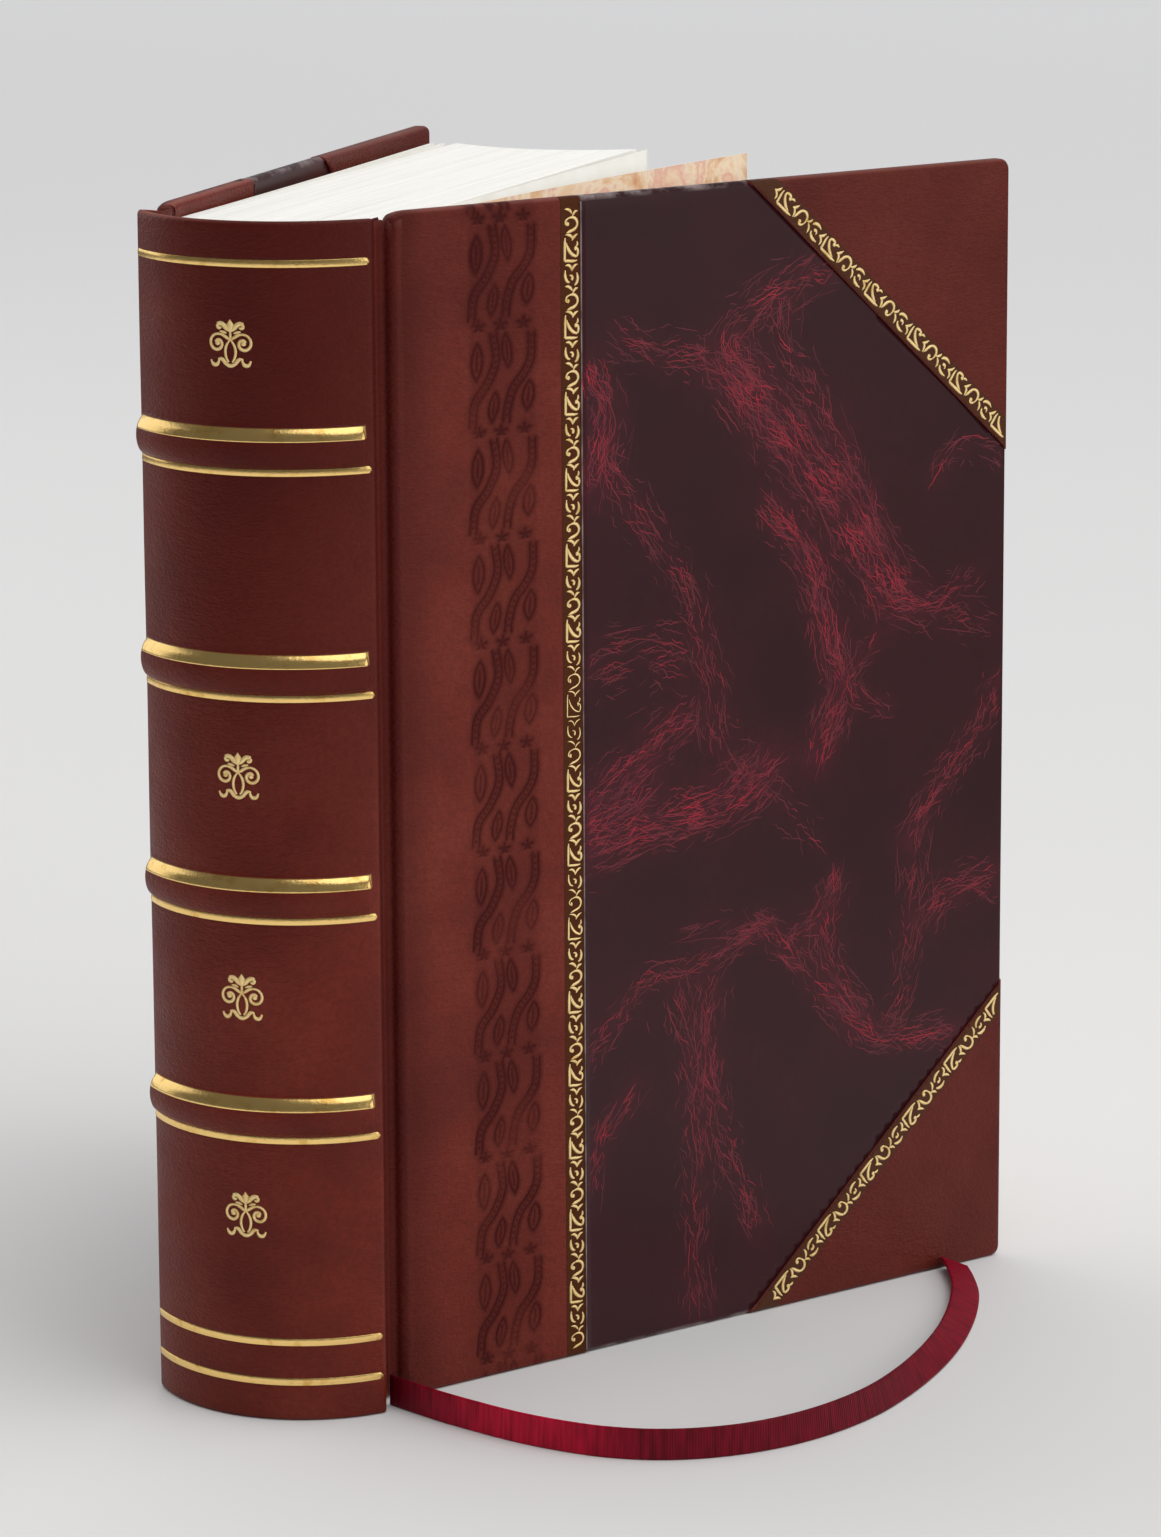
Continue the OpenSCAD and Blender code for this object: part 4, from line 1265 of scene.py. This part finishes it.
def spineLeather():
    path = spinePath()
    _, right = pathFrame(path)
    angle = np.arctan2(path[:, 0], arcY - chordY - path[:, 1])
    run = np.concatenate([[0], np.cumsum(np.linalg.norm(np.diff(path, axis=0), axis=1))])
    onArc = smoothStep((spineA - np.abs(angle)) / math.radians(4) + 0.5) * (path[:, 1] < 0.5 * mm)
    thick = book["leather"] + (spine["backThickness"] - book["leather"]) * onArc
    z = spineLevels()
    h = book["height"]
    rise = bandTaper(angle)[:, None] * bandRise(z)[None, :] + drape(angle[:, None], z[None, :])
    for line in lineHeights():
        pressed = np.clip(1 - (np.abs(z - line) / (0.62 * spine["lineWidth"])) ** 4, 0, 1)
        reach = smoothStep((spineA - math.radians(0.6) - np.abs(angle)) / math.radians(0.8))
        rise -= spine["linePressed"] * pressed[None, :] * reach[:, None]
    t = np.linspace(0, math.pi, 13)[1:-1]
    cap = np.full((len(path), 1), spine["headRound"])
    headIn, headUp = (thick / 2)[:, None] * (np.cos(t) - 1), cap * np.sin(t)
    lift = np.hstack([rise, headIn, -thick[:, None], -thick[:, None], headIn[:, ::-1]])
    low, high = z[0], z[-1]
    heights = np.hstack([np.repeat(z[None, :], len(path), 0), h - cap + headUp,
                         np.full((len(path), 1), high), np.full((len(path), 1), low),
                         cap - headUp[:, ::-1]])
    # head and tail come in a little where the leather goes down into the joints
    inGroove = smoothStep(path[:, 1] / (7 * mm))[:, None]
    heights = heights - spine["headDip"] * inGroove * smoothStep((heights - h + 12 * mm) / (11 * mm))
    heights = heights + spine["tailDip"] * inGroove * smoothStep((6 * mm - heights) / (5 * mm))
    inner = -right if path[-1, 0] > 0 else right
    outward = -inner
    place = path[:, None, :] + outward[:, None, :] * lift[..., None]
    points = np.dstack([place[..., 0] + centre[0], place[..., 1] + chordY, heights])
    uvs = np.dstack([np.repeat(run[:, None], lift.shape[1], 1), heights])
    quads = gridQuads(points.shape[0], points.shape[1], ring=True)
    # painted shade in the joints, and a little painted shade over the spine's middle, more so towards the
    # head
    inJoint = leatherTone["groove"] * smoothStep((path[:, 1] - 2.0 * mm) / (2.8 * mm))[:, None]
    overMiddle = smoothStep((angle + 0.85 * spineA) / spineA)[:, None] * (1 - inJoint)
    upwards = smoothStep((heights - 60 * mm) / (160 * mm))
    shade = inJoint + leatherTone["spineMiddleShade"] * overMiddle * upwards
    obj = buildMesh("spine_leather_skin", points, quads, uvs, shade)
    closeEnds(obj)
    obj.data.materials.append(tooledLeather)
    finishPiece(obj, "book_block", "red_leather", "spine_leather")
    return obj


def closeEnds(obj):
    # fills the open ends of a tube, and turns every face outwards
    bm = bmesh.new()
    bm.from_mesh(obj.data)
    rims = [e for e in bm.edges if e.is_boundary]
    bmesh.ops.holes_fill(bm, edges=rims)
    bmesh.ops.recalc_face_normals(bm, faces=bm.faces)
    bm.to_mesh(obj.data)
    bm.free()


spineLeather()


def onSpine(across, z, lift):
    # a point on the arch: across is measured round it from the middle, lift is out from the panel
    a = across / spineR
    r = spineR + lift + drape(a, z)
    return np.stack([centre[0] + r * np.sin(a), arcY - r * np.cos(a), z], -1)


def goldLine(z, halfAngle, section, onBand=False):
    # a line round the arch: its section is a shallow trough with raised lips, closed by a sunk keel
    a = np.linspace(-halfAngle, halfAngle, 110)
    ends = smoothStep((halfAngle - np.abs(a)) / math.radians(0.9)) * 0.75 + 0.25
    if onBand:
        low = bandTaper(a)
        rows = [np.column_stack([a * spineR, z + up + 0 * a, (lift - 0.07 * mm) * low + 0.07 * mm * ends])
                for up, lift in section]
    else:
        rows = [np.column_stack([a * spineR, z + up * ends, lift + 0 * a]) for up, lift in section]
    return np.stack(rows, 1)


def spineGold():
    half = spine["lineWidth"] / 2
    lift = spine["lineLift"]
    trough = [(-half, -0.04 * mm), (-half * 0.8, lift), (0, -0.02 * mm), (half * 0.8, lift),
              (half, -0.04 * mm), (0, -0.16 * mm)]
    tubes = [goldLine(z, spineA - math.radians(1), trough) for z in lineHeights()]
    for i in range(spine["bandCount"]):
        up = np.linspace(1.35, 4.15, 10) * mm
        over = np.array([-0.06, 0.07, 0.05, 0.04, 0.04, 0.04, 0.03, 0.03, 0.07, -0.06]) * mm
        rise = bandRise(bandHeight(i) + up)
        section = list(zip(up, rise + over)) + [(3.2 * mm, -0.1 * mm), (1.6 * mm, 0.6 * mm)]
        tubes.append(goldLine(bandHeight(i), spineA - spine["bandEnd"] + math.radians(0.4), section, True))
    verts, quads, start = [], [], 0
    for tube in tubes:
        n, k = tube.shape[:2]
        verts.append(onSpine(tube[..., 0], tube[..., 1], tube[..., 2]).reshape(-1, 3))
        quads.append(gridQuads(n, k, ring=True, start=start))
        start += n * k
    obj = buildMesh("spine_gold_lines", np.concatenate(verts), np.concatenate(quads))
    closeEnds(obj)
    obj.data.materials.append(lineGold)
    return obj


ornament = {
    "width": 9.2 * mm,
    "drawn": 9.2,
    "drop": 20.6 * mm,
    "rise": 20 * mm,
    "height": 0.06 * mm,
    "weight": 1.3,
}


def spiral(x, y, r0, r1, a0, a1, count=18):
    # radius and angle both run evenly from the start to the end
    t = np.linspace(0, 1, count + 1)
    r = r0 + (r1 - r0) * t
    a = np.radians(a0 + (a1 - a0) * t)
    return np.column_stack([x + r * np.cos(a), y + r * np.sin(a)])


def ornamentStrokes():
    # leaf sprig over two side scrolls, an open oval, a base bar and two S feet, in millimetres
    strokes = []
    for side in (-1, 1):
        flip = np.array([side, 1])
        strokes += [
            taper(spiral(2.7, 0.25, 1.9, 0.45, 115, -330, 22) * flip, 0.5, 0.7, 0.9),
            taper(curve((0, 1.0), (0.8, 1.25), (1.3, 1.95), (2.0, 2.0)) * flip, 0.5, 0.6, 0.8),
            taper(curve((0.0, 1.0), (1.4, -0.3), (1.35, -2.2), (0.35, -3.4), 10) * flip, 0.45, 0.6, 0.7),
            taper(curve((0.3, -3.8), (1.3, -4.2), (1.3, -2.2), (2.6, -2.9), 10) * flip, 0.62, 0.5, 0.6),
            taper(curve((2.4, -2.9), (2.6, -4.4), (3.9, -4.3), (4.15, -3.0), 10) * flip, 0.6, 0.6, 0.5),
            taper(curve((0.1, 2.6), (0.9, 2.9), (1.5, 4.7), (2.7, 3.9), 10) * flip, 0.75, 0.3, 0.8),
            taper(curve((2.7, 3.9), (2.9, 3.3), (2.2, 3.0), (1.9, 3.4), 6) * flip, 0.55, 0.7, 0.5),
            taper(curve((0.7, 2.2), (1.2, 2.4), (1.7, 2.6), (2.2, 2.5), 5) * flip, 0.4, 0.3, 0.5),
        ]
        x, y = 2.7 * side, 0.25
        strokes.append(ball(x, y, 0.42))
    strokes.append(taper(curve((0, 0.9), (0, 1.5), (0, 2.0), (0, 2.6), 4), 0.45, 0.8, 0.8))
    strokes.append(taper(curve((0, 2.5), (0, 3.2), (0, 4.0), (0, 4.9), 6), 1.1, 0.3, 0.1))
    strokes.append(taper(curve((-0.9, -3.95), (-0.3, -4.1), (0.3, -4.1), (0.9, -3.95), 5), 0.6, 0.5, 0.5))
    return strokes


def spineOrnaments():
    scale = ornament["width"] / ornament["drawn"]
    heights = [bandHeight(i) - ornament["drop"] for i in range(spine["bandCount"] - 1)]
    heights.append(bandHeight(spine["bandCount"] - 1) + ornament["rise"])
    ridges = []
    for z in heights:
        for path, widths in ornamentStrokes():
            placed = path * scale + np.array([0, z])
            ridges.append(strokeRidge(placed, widths * scale * ornament["weight"], ornament["height"]))
    obj = strokesMesh("spine_ornaments", ridges, onSpine)
    weld(obj, 1e-7, turn=True)
    return obj


def jointSkin(cover, name):
    # the same leather runs on from the groove over the cover's round edge: it starts and ends sunk into its
    # neighbours, so that no seam shows
    side, radius = cover.side, book["boardHalf"] + book["leather"]
    groove = spine["chord"] / 2 - spine["grooveDepth"]
    first = np.array([centre[0] + side * (groove - 0.12 * mm), chordY + 7.4 * mm])
    second = np.array([centre[0] + side * (groove + 0.06 * mm), chordY + 8.6 * mm])
    pivot, out, along = cover.pivot[:2], cover.out[:2], cover.along[:2]
    t = np.linspace(math.radians(24), math.pi / 2, 12)
    r = (radius + np.linspace(0.12, 0.04, 12) * mm)[:, None]
    roundEdge = pivot + r * (out * np.sin(t)[:, None] - along * np.cos(t)[:, None])
    touch = out * math.cos(t[0]) + along * math.sin(t[0])
    valley = curve(second, second + np.array([side * 0.05, 1.0]) * mm, roundEdge[0] - touch * 0.9 * mm,
                   roundEdge[0], 10)
    onFace = ((0.6, 0.02), (1.3, -0.03), (2, -0.1))
    face = [pivot + out * (radius + lift * mm) + along * s * mm for s, lift in onFace]
    path = np.vstack([first, valley, roundEdge[1:], face])
    _, right = pathFrame(path)
    inward = -right * side
    h, edge = book["height"], book["edgeRound"]
    onCover = (path - pivot) @ along
    top = h - edge - cornerDrop(onCover, radius) * smoothStep((onCover + 4 * mm) / (2 * mm))
    # between spine and cover it stands higher, so that no slit opens there at head and tail
    higher = (edge + 0.2 * mm) * smoothStep((-onCover / radius - 0.6) / 0.5)
    top = np.minimum(top + higher, h - 1.4 * mm)
    z = (h - top)[:, None] + (2 * top - h)[:, None] * np.linspace(0, 1, 60)[None, :]
    sheets = [path, path + inward * spine["jointSkin"]]
    rows = [np.dstack([np.repeat(p[:, None, :], 60, 1), z]) for p in sheets]
    points = np.concatenate([rows[0], rows[1][:, ::-1]], 1)
    # painted shade: dark in the groove, fading out over the cover away from the joint
    fold = leatherTone["skinFoldShade"] * smoothStep((9 * mm - onCover) / (9 * mm))
    shade = np.where(onCover < 0, leatherTone["skinGrooveShade"], fold)
    shade = np.repeat(shade[:, None], points.shape[1], 1)
    obj = buildMesh(name, points, gridQuads(points.shape[0], points.shape[1], ring=True), None, shade)
    closeEnds(obj)
    obj.data.materials.append(tooledLeather)
    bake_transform(obj)
    return obj


for cover, side in ((frontCover, "front"), (backCover, "back")):
    jointSkin(cover, side + "_joint_skin")
lines = spineGold()
ornaments = spineOrnaments()
finishPiece(lines, "book_block", "gold_tooling", "spine_gold")
finishPiece(ornaments, "book_block", "gold_tooling")
print("spine made")


# the pages: a stack of leaves, each with its own small step at head and fore-edge

pages = {
    "thickness": 42.4 * mm,
    "square": 3 * mm,
    "foreSag": 7 * mm,
    "squareWidth": 7 * mm,
    "roundR": 28.8 * mm,
    "sections": 150,
    "jitter": 0.10 * mm,
}
foreY = frontCover.pivot[1] + book["coverWidth"] - pages["squareWidth"]


def pageBlock():
    # each section is a pair of rows: a closed loop from spine to fore-edge, up and back again
    t, n = pages["thickness"], pages["sections"]
    edges = np.linspace(-t / 2, t / 2, n + 1)
    x = np.stack([edges[:-1], edges[1:]], 1).ravel()
    step = np.repeat(rng.normal(0, 1, n), 2)
    slow = np.repeat(np.convolve(rng.normal(0, 1, n + 20), np.ones(21) / 21, "valid"), 2)
    foreR = (t * t / 4 + pages["foreSag"] ** 2) / (2 * pages["foreSag"])
    fore = foreY - pages["foreSag"] + foreR - np.sqrt(foreR**2 - x**2) + pages["jitter"] * (step + 2 * slow)
    back = arcY - np.sqrt(np.clip(pages["roundR"] ** 2 - x**2, 0, None))
    head = book["height"] - pages["square"] - 0.02 * mm - np.abs(step) * pages["jitter"] * 0.2
    tail = pages["square"] + 0 * head
    rounds = 9
    along = np.linspace(0, 1, rounds)
    y = back[:, None] + (fore - back)[:, None] * along[None, :]
    upper = np.dstack([np.repeat(x[:, None], rounds, 1), y, np.repeat(head[:, None], rounds, 1)])
    lower = np.dstack([np.repeat(x[:, None], rounds, 1), y, np.repeat(tail[:, None], rounds, 1)])[:, ::-1]
    points = np.concatenate([upper, lower], 1)
    points[..., 0] += centre[0]
    obj = buildMesh("page_block", points, gridQuads(points.shape[0], points.shape[1], ring=True))
    closeEnds(obj)
    obj.data.polygons.foreach_set("use_smooth", np.zeros(len(obj.data.polygons), bool))
    obj.data.materials.append(pageEdges)
    finishPiece(obj, "book_block", "page_paper", "text_block")
    return obj


pageBlock()


leaves = {
    "thickness": 0.25 * mm,
    "gutter": 10.7 * mm,
    "wave": 0.35 * mm,
    "clear": 0.185 * mm,
    "apart": 0.31 * mm,
    "flyOpen": 2.4 * mm,
    "frontOpen": 25 * mm,
    "backOpen": 4.8 * mm,
    "frontFlyShare": 0.026,
    "frontFreeShare": 0.28,
    "backFlyShare": 0.22,
    "backFreeShare": 0.34,
}


def looseLeaf(name, side, first, opening, replaced, faces):
    # a leaf from the gutter to its free edge: a curve in plan carried up, with a slight wave at the edge.
    gutter = chordY + leaves["gutter"]
    free = foreY - 0.6 * mm
    reach = free - gutter
    run = curve((first, 0), (first + opening * 0.06, reach * 0.32), (first + opening * 0.5, reach * 0.66),
                (first + opening, reach), 40)
    z = np.linspace(pages["square"], book["height"] - pages["square"], 50)
    t = np.linspace(0, 1, len(run))[:, None]
    wave = leaves["wave"] * t * t * np.sin(z[None, :] * 21 + opening * 900) * min(1, opening / (4 * mm))
    _, right = pathFrame(run)
    half = leaves["thickness"] / 2
    rows = []
    for shift in (half, -half):
        place = run[:, None, :] + right[:, None, :] * (shift + wave[..., None])
        rows.append(np.dstack([centre[0] + side * place[..., 0], gutter + place[..., 1],
                               np.repeat(z[None, :], len(run), 0)]))
    points = np.concatenate([rows[0], rows[1][:, ::-1]], 1)
    quads = gridQuads(points.shape[0], points.shape[1], ring=True)
    obj = buildMesh(name, points, quads)
    closeEnds(obj)
    for mat in faces:
        obj.data.materials.append(mat)
    if len(faces) > 1:
        normals = np.zeros(len(obj.data.polygons) * 3)
        obj.data.polygons.foreach_get("normal", normals)
        outward = normals.reshape(-1, 3)[:, 0] * side > 0.5
        obj.data.polygons.foreach_set("material_index", outward.astype(np.int32))
        obj.data.update()
    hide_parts(replaced)
    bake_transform(obj)
    return obj


flyX = pages["thickness"] / 2 + leaves["clear"]
freeX = flyX + leaves["apart"]
for side, way in (("front", 1), ("back", -1)):
    looseLeaf(side + "_flyleaf_sheet", way, flyX, leaves["flyOpen"], side + "_flyleaf",
              [pagePaper])
    looseLeaf(side + "_free_endpaper_sheet", way, freeX, leaves[side + "Open"], side + "_free_endpaper",
              [pagePaper, endPaper])
print("pages made")


# the ribbon marker: route in millimetres on the floor, and the lean of its upper edge towards the book

ribbon = {"width": 6.4 * mm, "thickness": 0.5 * mm, "ribPitch": 0.56 * mm, "ribDepth": 0.05 * mm}
ribbonRoute = [
    (-15.2, -72, 0), (-9.5, -74.6, 0), (-2, -77.8, 0), (7, -81, 0), (17, -84, 0), (27, -85.7, 0),
    (36, -86, 0), (45, -84.4, 0), (53.5, -80.6, 0), (61.5, -74.6, 0), (68.5, -66.4, 4),
    (74, -56.5, 8), (78, -45, 14), (80.2, -32, 22), (81, -18.5, 34), (80.6, -5, 48),
    (79.2, 8, 60), (77, 21, 66), (73.8, 33.5, 68), (70, 43, 68), (66.6, 49.8, 68),
]


def makeRibbon():
    # a flat rounded section carried along the route, leaning as the route says, with fine ribs across
    route, length = evenPath(ribbonRoute, 0.14)
    plan, lean = route[:, :2] * mm, np.radians(route[:, 2])
    _, right = pathFrame(plan)
    w, t = ribbon["width"], ribbon["thickness"]
    corners = [(-t / 2, -w / 2 + 0.2 * mm), (-0.05 * mm, -w / 2), (0.05 * mm, -w / 2),
               (t / 2, -w / 2 + 0.2 * mm)]
    up = np.linspace(-w / 2 + 0.6 * mm, w / 2 - 0.6 * mm, 6)
    section = corners + [(t / 2, v) for v in up] + [(t / 2, w / 2 - 0.2 * mm), (0.05 * mm, w / 2),
                                                    (-0.05 * mm, w / 2), (-t / 2, w / 2 - 0.2 * mm)]
    section = np.array(section + [(-t / 2, v) for v in up[::-1]])
    run = np.arange(len(plan)) * length * mm / (len(plan) - 1)
    rib = 1 + (ribbon["ribDepth"] / (t / 2)) * np.sin(run * 2 * math.pi / ribbon["ribPitch"])
    across = section[None, :, 0] * rib[:, None]
    tall = np.repeat(section[None, :, 1], len(plan), 0)
    outward = across * np.cos(lean)[:, None] - tall * np.sin(lean)[:, None]
    rise = (w / 2 * np.cos(lean) + t / 2 * np.sin(lean) + 0.05 * mm)[:, None]
    z = rise + tall * np.cos(lean)[:, None] + across * np.sin(lean)[:, None]
    xy = plan[:, None, :] + right[:, None, :] * outward[..., None]
    points = np.dstack([xy, z])
    uvs = np.dstack([np.repeat(run[:, None], section.shape[0], 1), tall])
    quads = gridQuads(points.shape[0], points.shape[1], ring=True)
    obj = buildMesh("ribbon_marker_cloth", points, quads, uvs)
    closeEnds(obj)
    obj.data.materials.append(ribbonCloth)
    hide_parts("ribbon_marker")
    keep = slice(None, None, 20)
    line = np.column_stack([plan, rise[:, 0]])
    line = np.vstack([line[keep], line[-1:]])
    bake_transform(obj)
    return obj


makeRibbon()
print("ribbon made")


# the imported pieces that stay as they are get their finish

def dress(nodeName, *mats):
    obj = frame["nodes"][nodeName]
    obj.data.materials.clear()
    for mat in mats:
        obj.data.materials.append(mat)


for nodeName in ["spine_card"] + ["band_%d" % i for i in range(1, 5)]:
    dress(nodeName, greyCard)
dress("spine_lining", liningCloth)
dress("front_pastedown", endPaper)
dress("back_pastedown", endPaper)


# floor, light and world

def makeFloor():
    # a pale table top, paler further back as painted light against the lamps' fall-off; mirror-like rays see
    # a painted reflection, bright before the spine only, as on a small table
    y = np.linspace(-5, 9, 8)
    x = np.linspace(-7, 7, 8)
    points = np.stack([np.repeat(x[:, None], 8, 1), np.repeat(y[None, :], 8, 0), np.zeros((8, 8))], -1)
    obj = buildMesh("table_top", points, gridQuads(8, 8))
    mat, tree, shader = newMaterial("table_white")
    rays = node(tree, "ShaderNodeLightPath")
    where = node(tree, "ShaderNodeTexCoord").outputs["Object"]
    parts = node(tree, "ShaderNodeSeparateXYZ")
    tree.links.new(where, parts.inputs[0])
    away = maths(tree, "DIVIDE", parts.outputs["Y"], 4.0)
    # painted light: paler further back, evening out the lamps' fall-off
    pale = ramp(tree, away, [(0.12, studio["floor"]), (0.8, studio["floorFar"])])
    # painted reflection: bright near a spot before the spine, dim elsewhere
    fromSpot = node(tree, "ShaderNodeVectorMath", operation="DISTANCE")
    tree.links.new(where, fromSpot.inputs[0])
    fromSpot.inputs[1].default_value = studio["brightSpot"]
    mirrored = ramp(tree, fromSpot.outputs["Value"], [(0.6, studio["floorNearInGloss"]),
                                                      (1, studio["floorInGloss"])])
    seen = mixColour(tree, rays.outputs["Is Glossy Ray"], pale, mirrored)
    tree.links.new(seen, shader.inputs["Base Color"])
    shader.inputs["Roughness"].default_value = studio["floorRough"]
    shader.inputs["Specular IOR Level"].default_value = studio["floorGloss"]
    obj.data.materials.append(mat)


def areaLight(name, place, target, size, power, mirrored=True):
    data = bpy.data.lights.new(name, "AREA")
    data.shape = "RECTANGLE"
    data.size, data.size_y = size
    data.energy = power
    obj = bpy.data.objects.new(name, data)
    bpy.context.collection.objects.link(obj)
    obj.location = place
    obj.visible_glossy = mirrored
    obj.rotation_euler = (Vector(target) - Vector(place)).to_track_quat("-Z", "Y").to_euler()


def makeWorld():
    # even room light, dimmer on the spine's side; the camera sees the backdrop, mirror-like rays a dim room
    world = bpy.data.worlds.new("roomLight")
    world.use_nodes = True
    tree = world.node_tree
    background = tree.nodes["Background"]
    rays = node(tree, "ShaderNodeLightPath")
    facing = node(tree, "ShaderNodeVectorMath", operation="DOT_PRODUCT")
    facing.inputs[1].default_value = studio["dimSide"]
    tree.links.new(node(tree, "ShaderNodeTexCoord").outputs["Generated"], facing.inputs[0])
    room = ramp(tree, facing.outputs["Value"], [(0.35, studio["room"]), (0.9, studio["roomDim"])])
    parts = node(tree, "ShaderNodeSeparateXYZ")
    tree.links.new(node(tree, "ShaderNodeTexCoord").outputs["Generated"], parts.inputs[0])
    mirrored = ramp(tree, parts.outputs["Y"], [(0.1, studio["roomInGloss"]), (0.6, studio["wallInGloss"])])
    colour = mixColour(tree, rays.outputs["Is Glossy Ray"], room, mirrored)
    tree.links.new(mixColour(tree, rays.outputs["Is Camera Ray"], colour, studio["backdrop"]),
                   background.inputs["Color"])
    background.inputs["Strength"].default_value = 1
    bpy.context.scene.world = world


studio = {
    "floor": (0.750, 0.743, 0.733),
    "floorFar": (0.860, 0.860, 0.860),
    "floorRough": 0.7,
    "floorGloss": 0.15,
    "brightSpot": (-0.25, -0.40, 0.0),
    "floorNearInGloss": (0.80, 0.79, 0.78),
    "floorInGloss": (0.12, 0.115, 0.11),
    "room": (0.93, 0.93, 0.94),
    "roomDim": (0.12, 0.12, 0.125),
    "dimSide": (-0.42, -0.90, 0.12),
    "roomInGloss": (0.055, 0.055, 0.055),
    "wallInGloss": (0.36, 0.36, 0.37),
    "backdrop": (0.694, 0.701, 0.708),
}
makeFloor()
makeWorld()
areaLight("leftWindow", (-1.5, 0.25, 0.68), (0, 0, 0.14), (1.1, 1.2), 4.2)
areaLight("rightWall", (1.6, -0.02, 0.46), (0, 0, 0.12), (1.3, 1.0), 4.6)
areaLight("rightFront", (1.3, -0.85, 0.7), (0.1, 0, 0), (0.6, 0.8), 1.2, mirrored=False)
areaLight("overhead", (0.75, -0.15, 1.9), (0.1, 0, 0), (1.4, 1.4), 9.5)
bpy.context.scene.view_settings.view_transform = "Standard"
print("studio made")
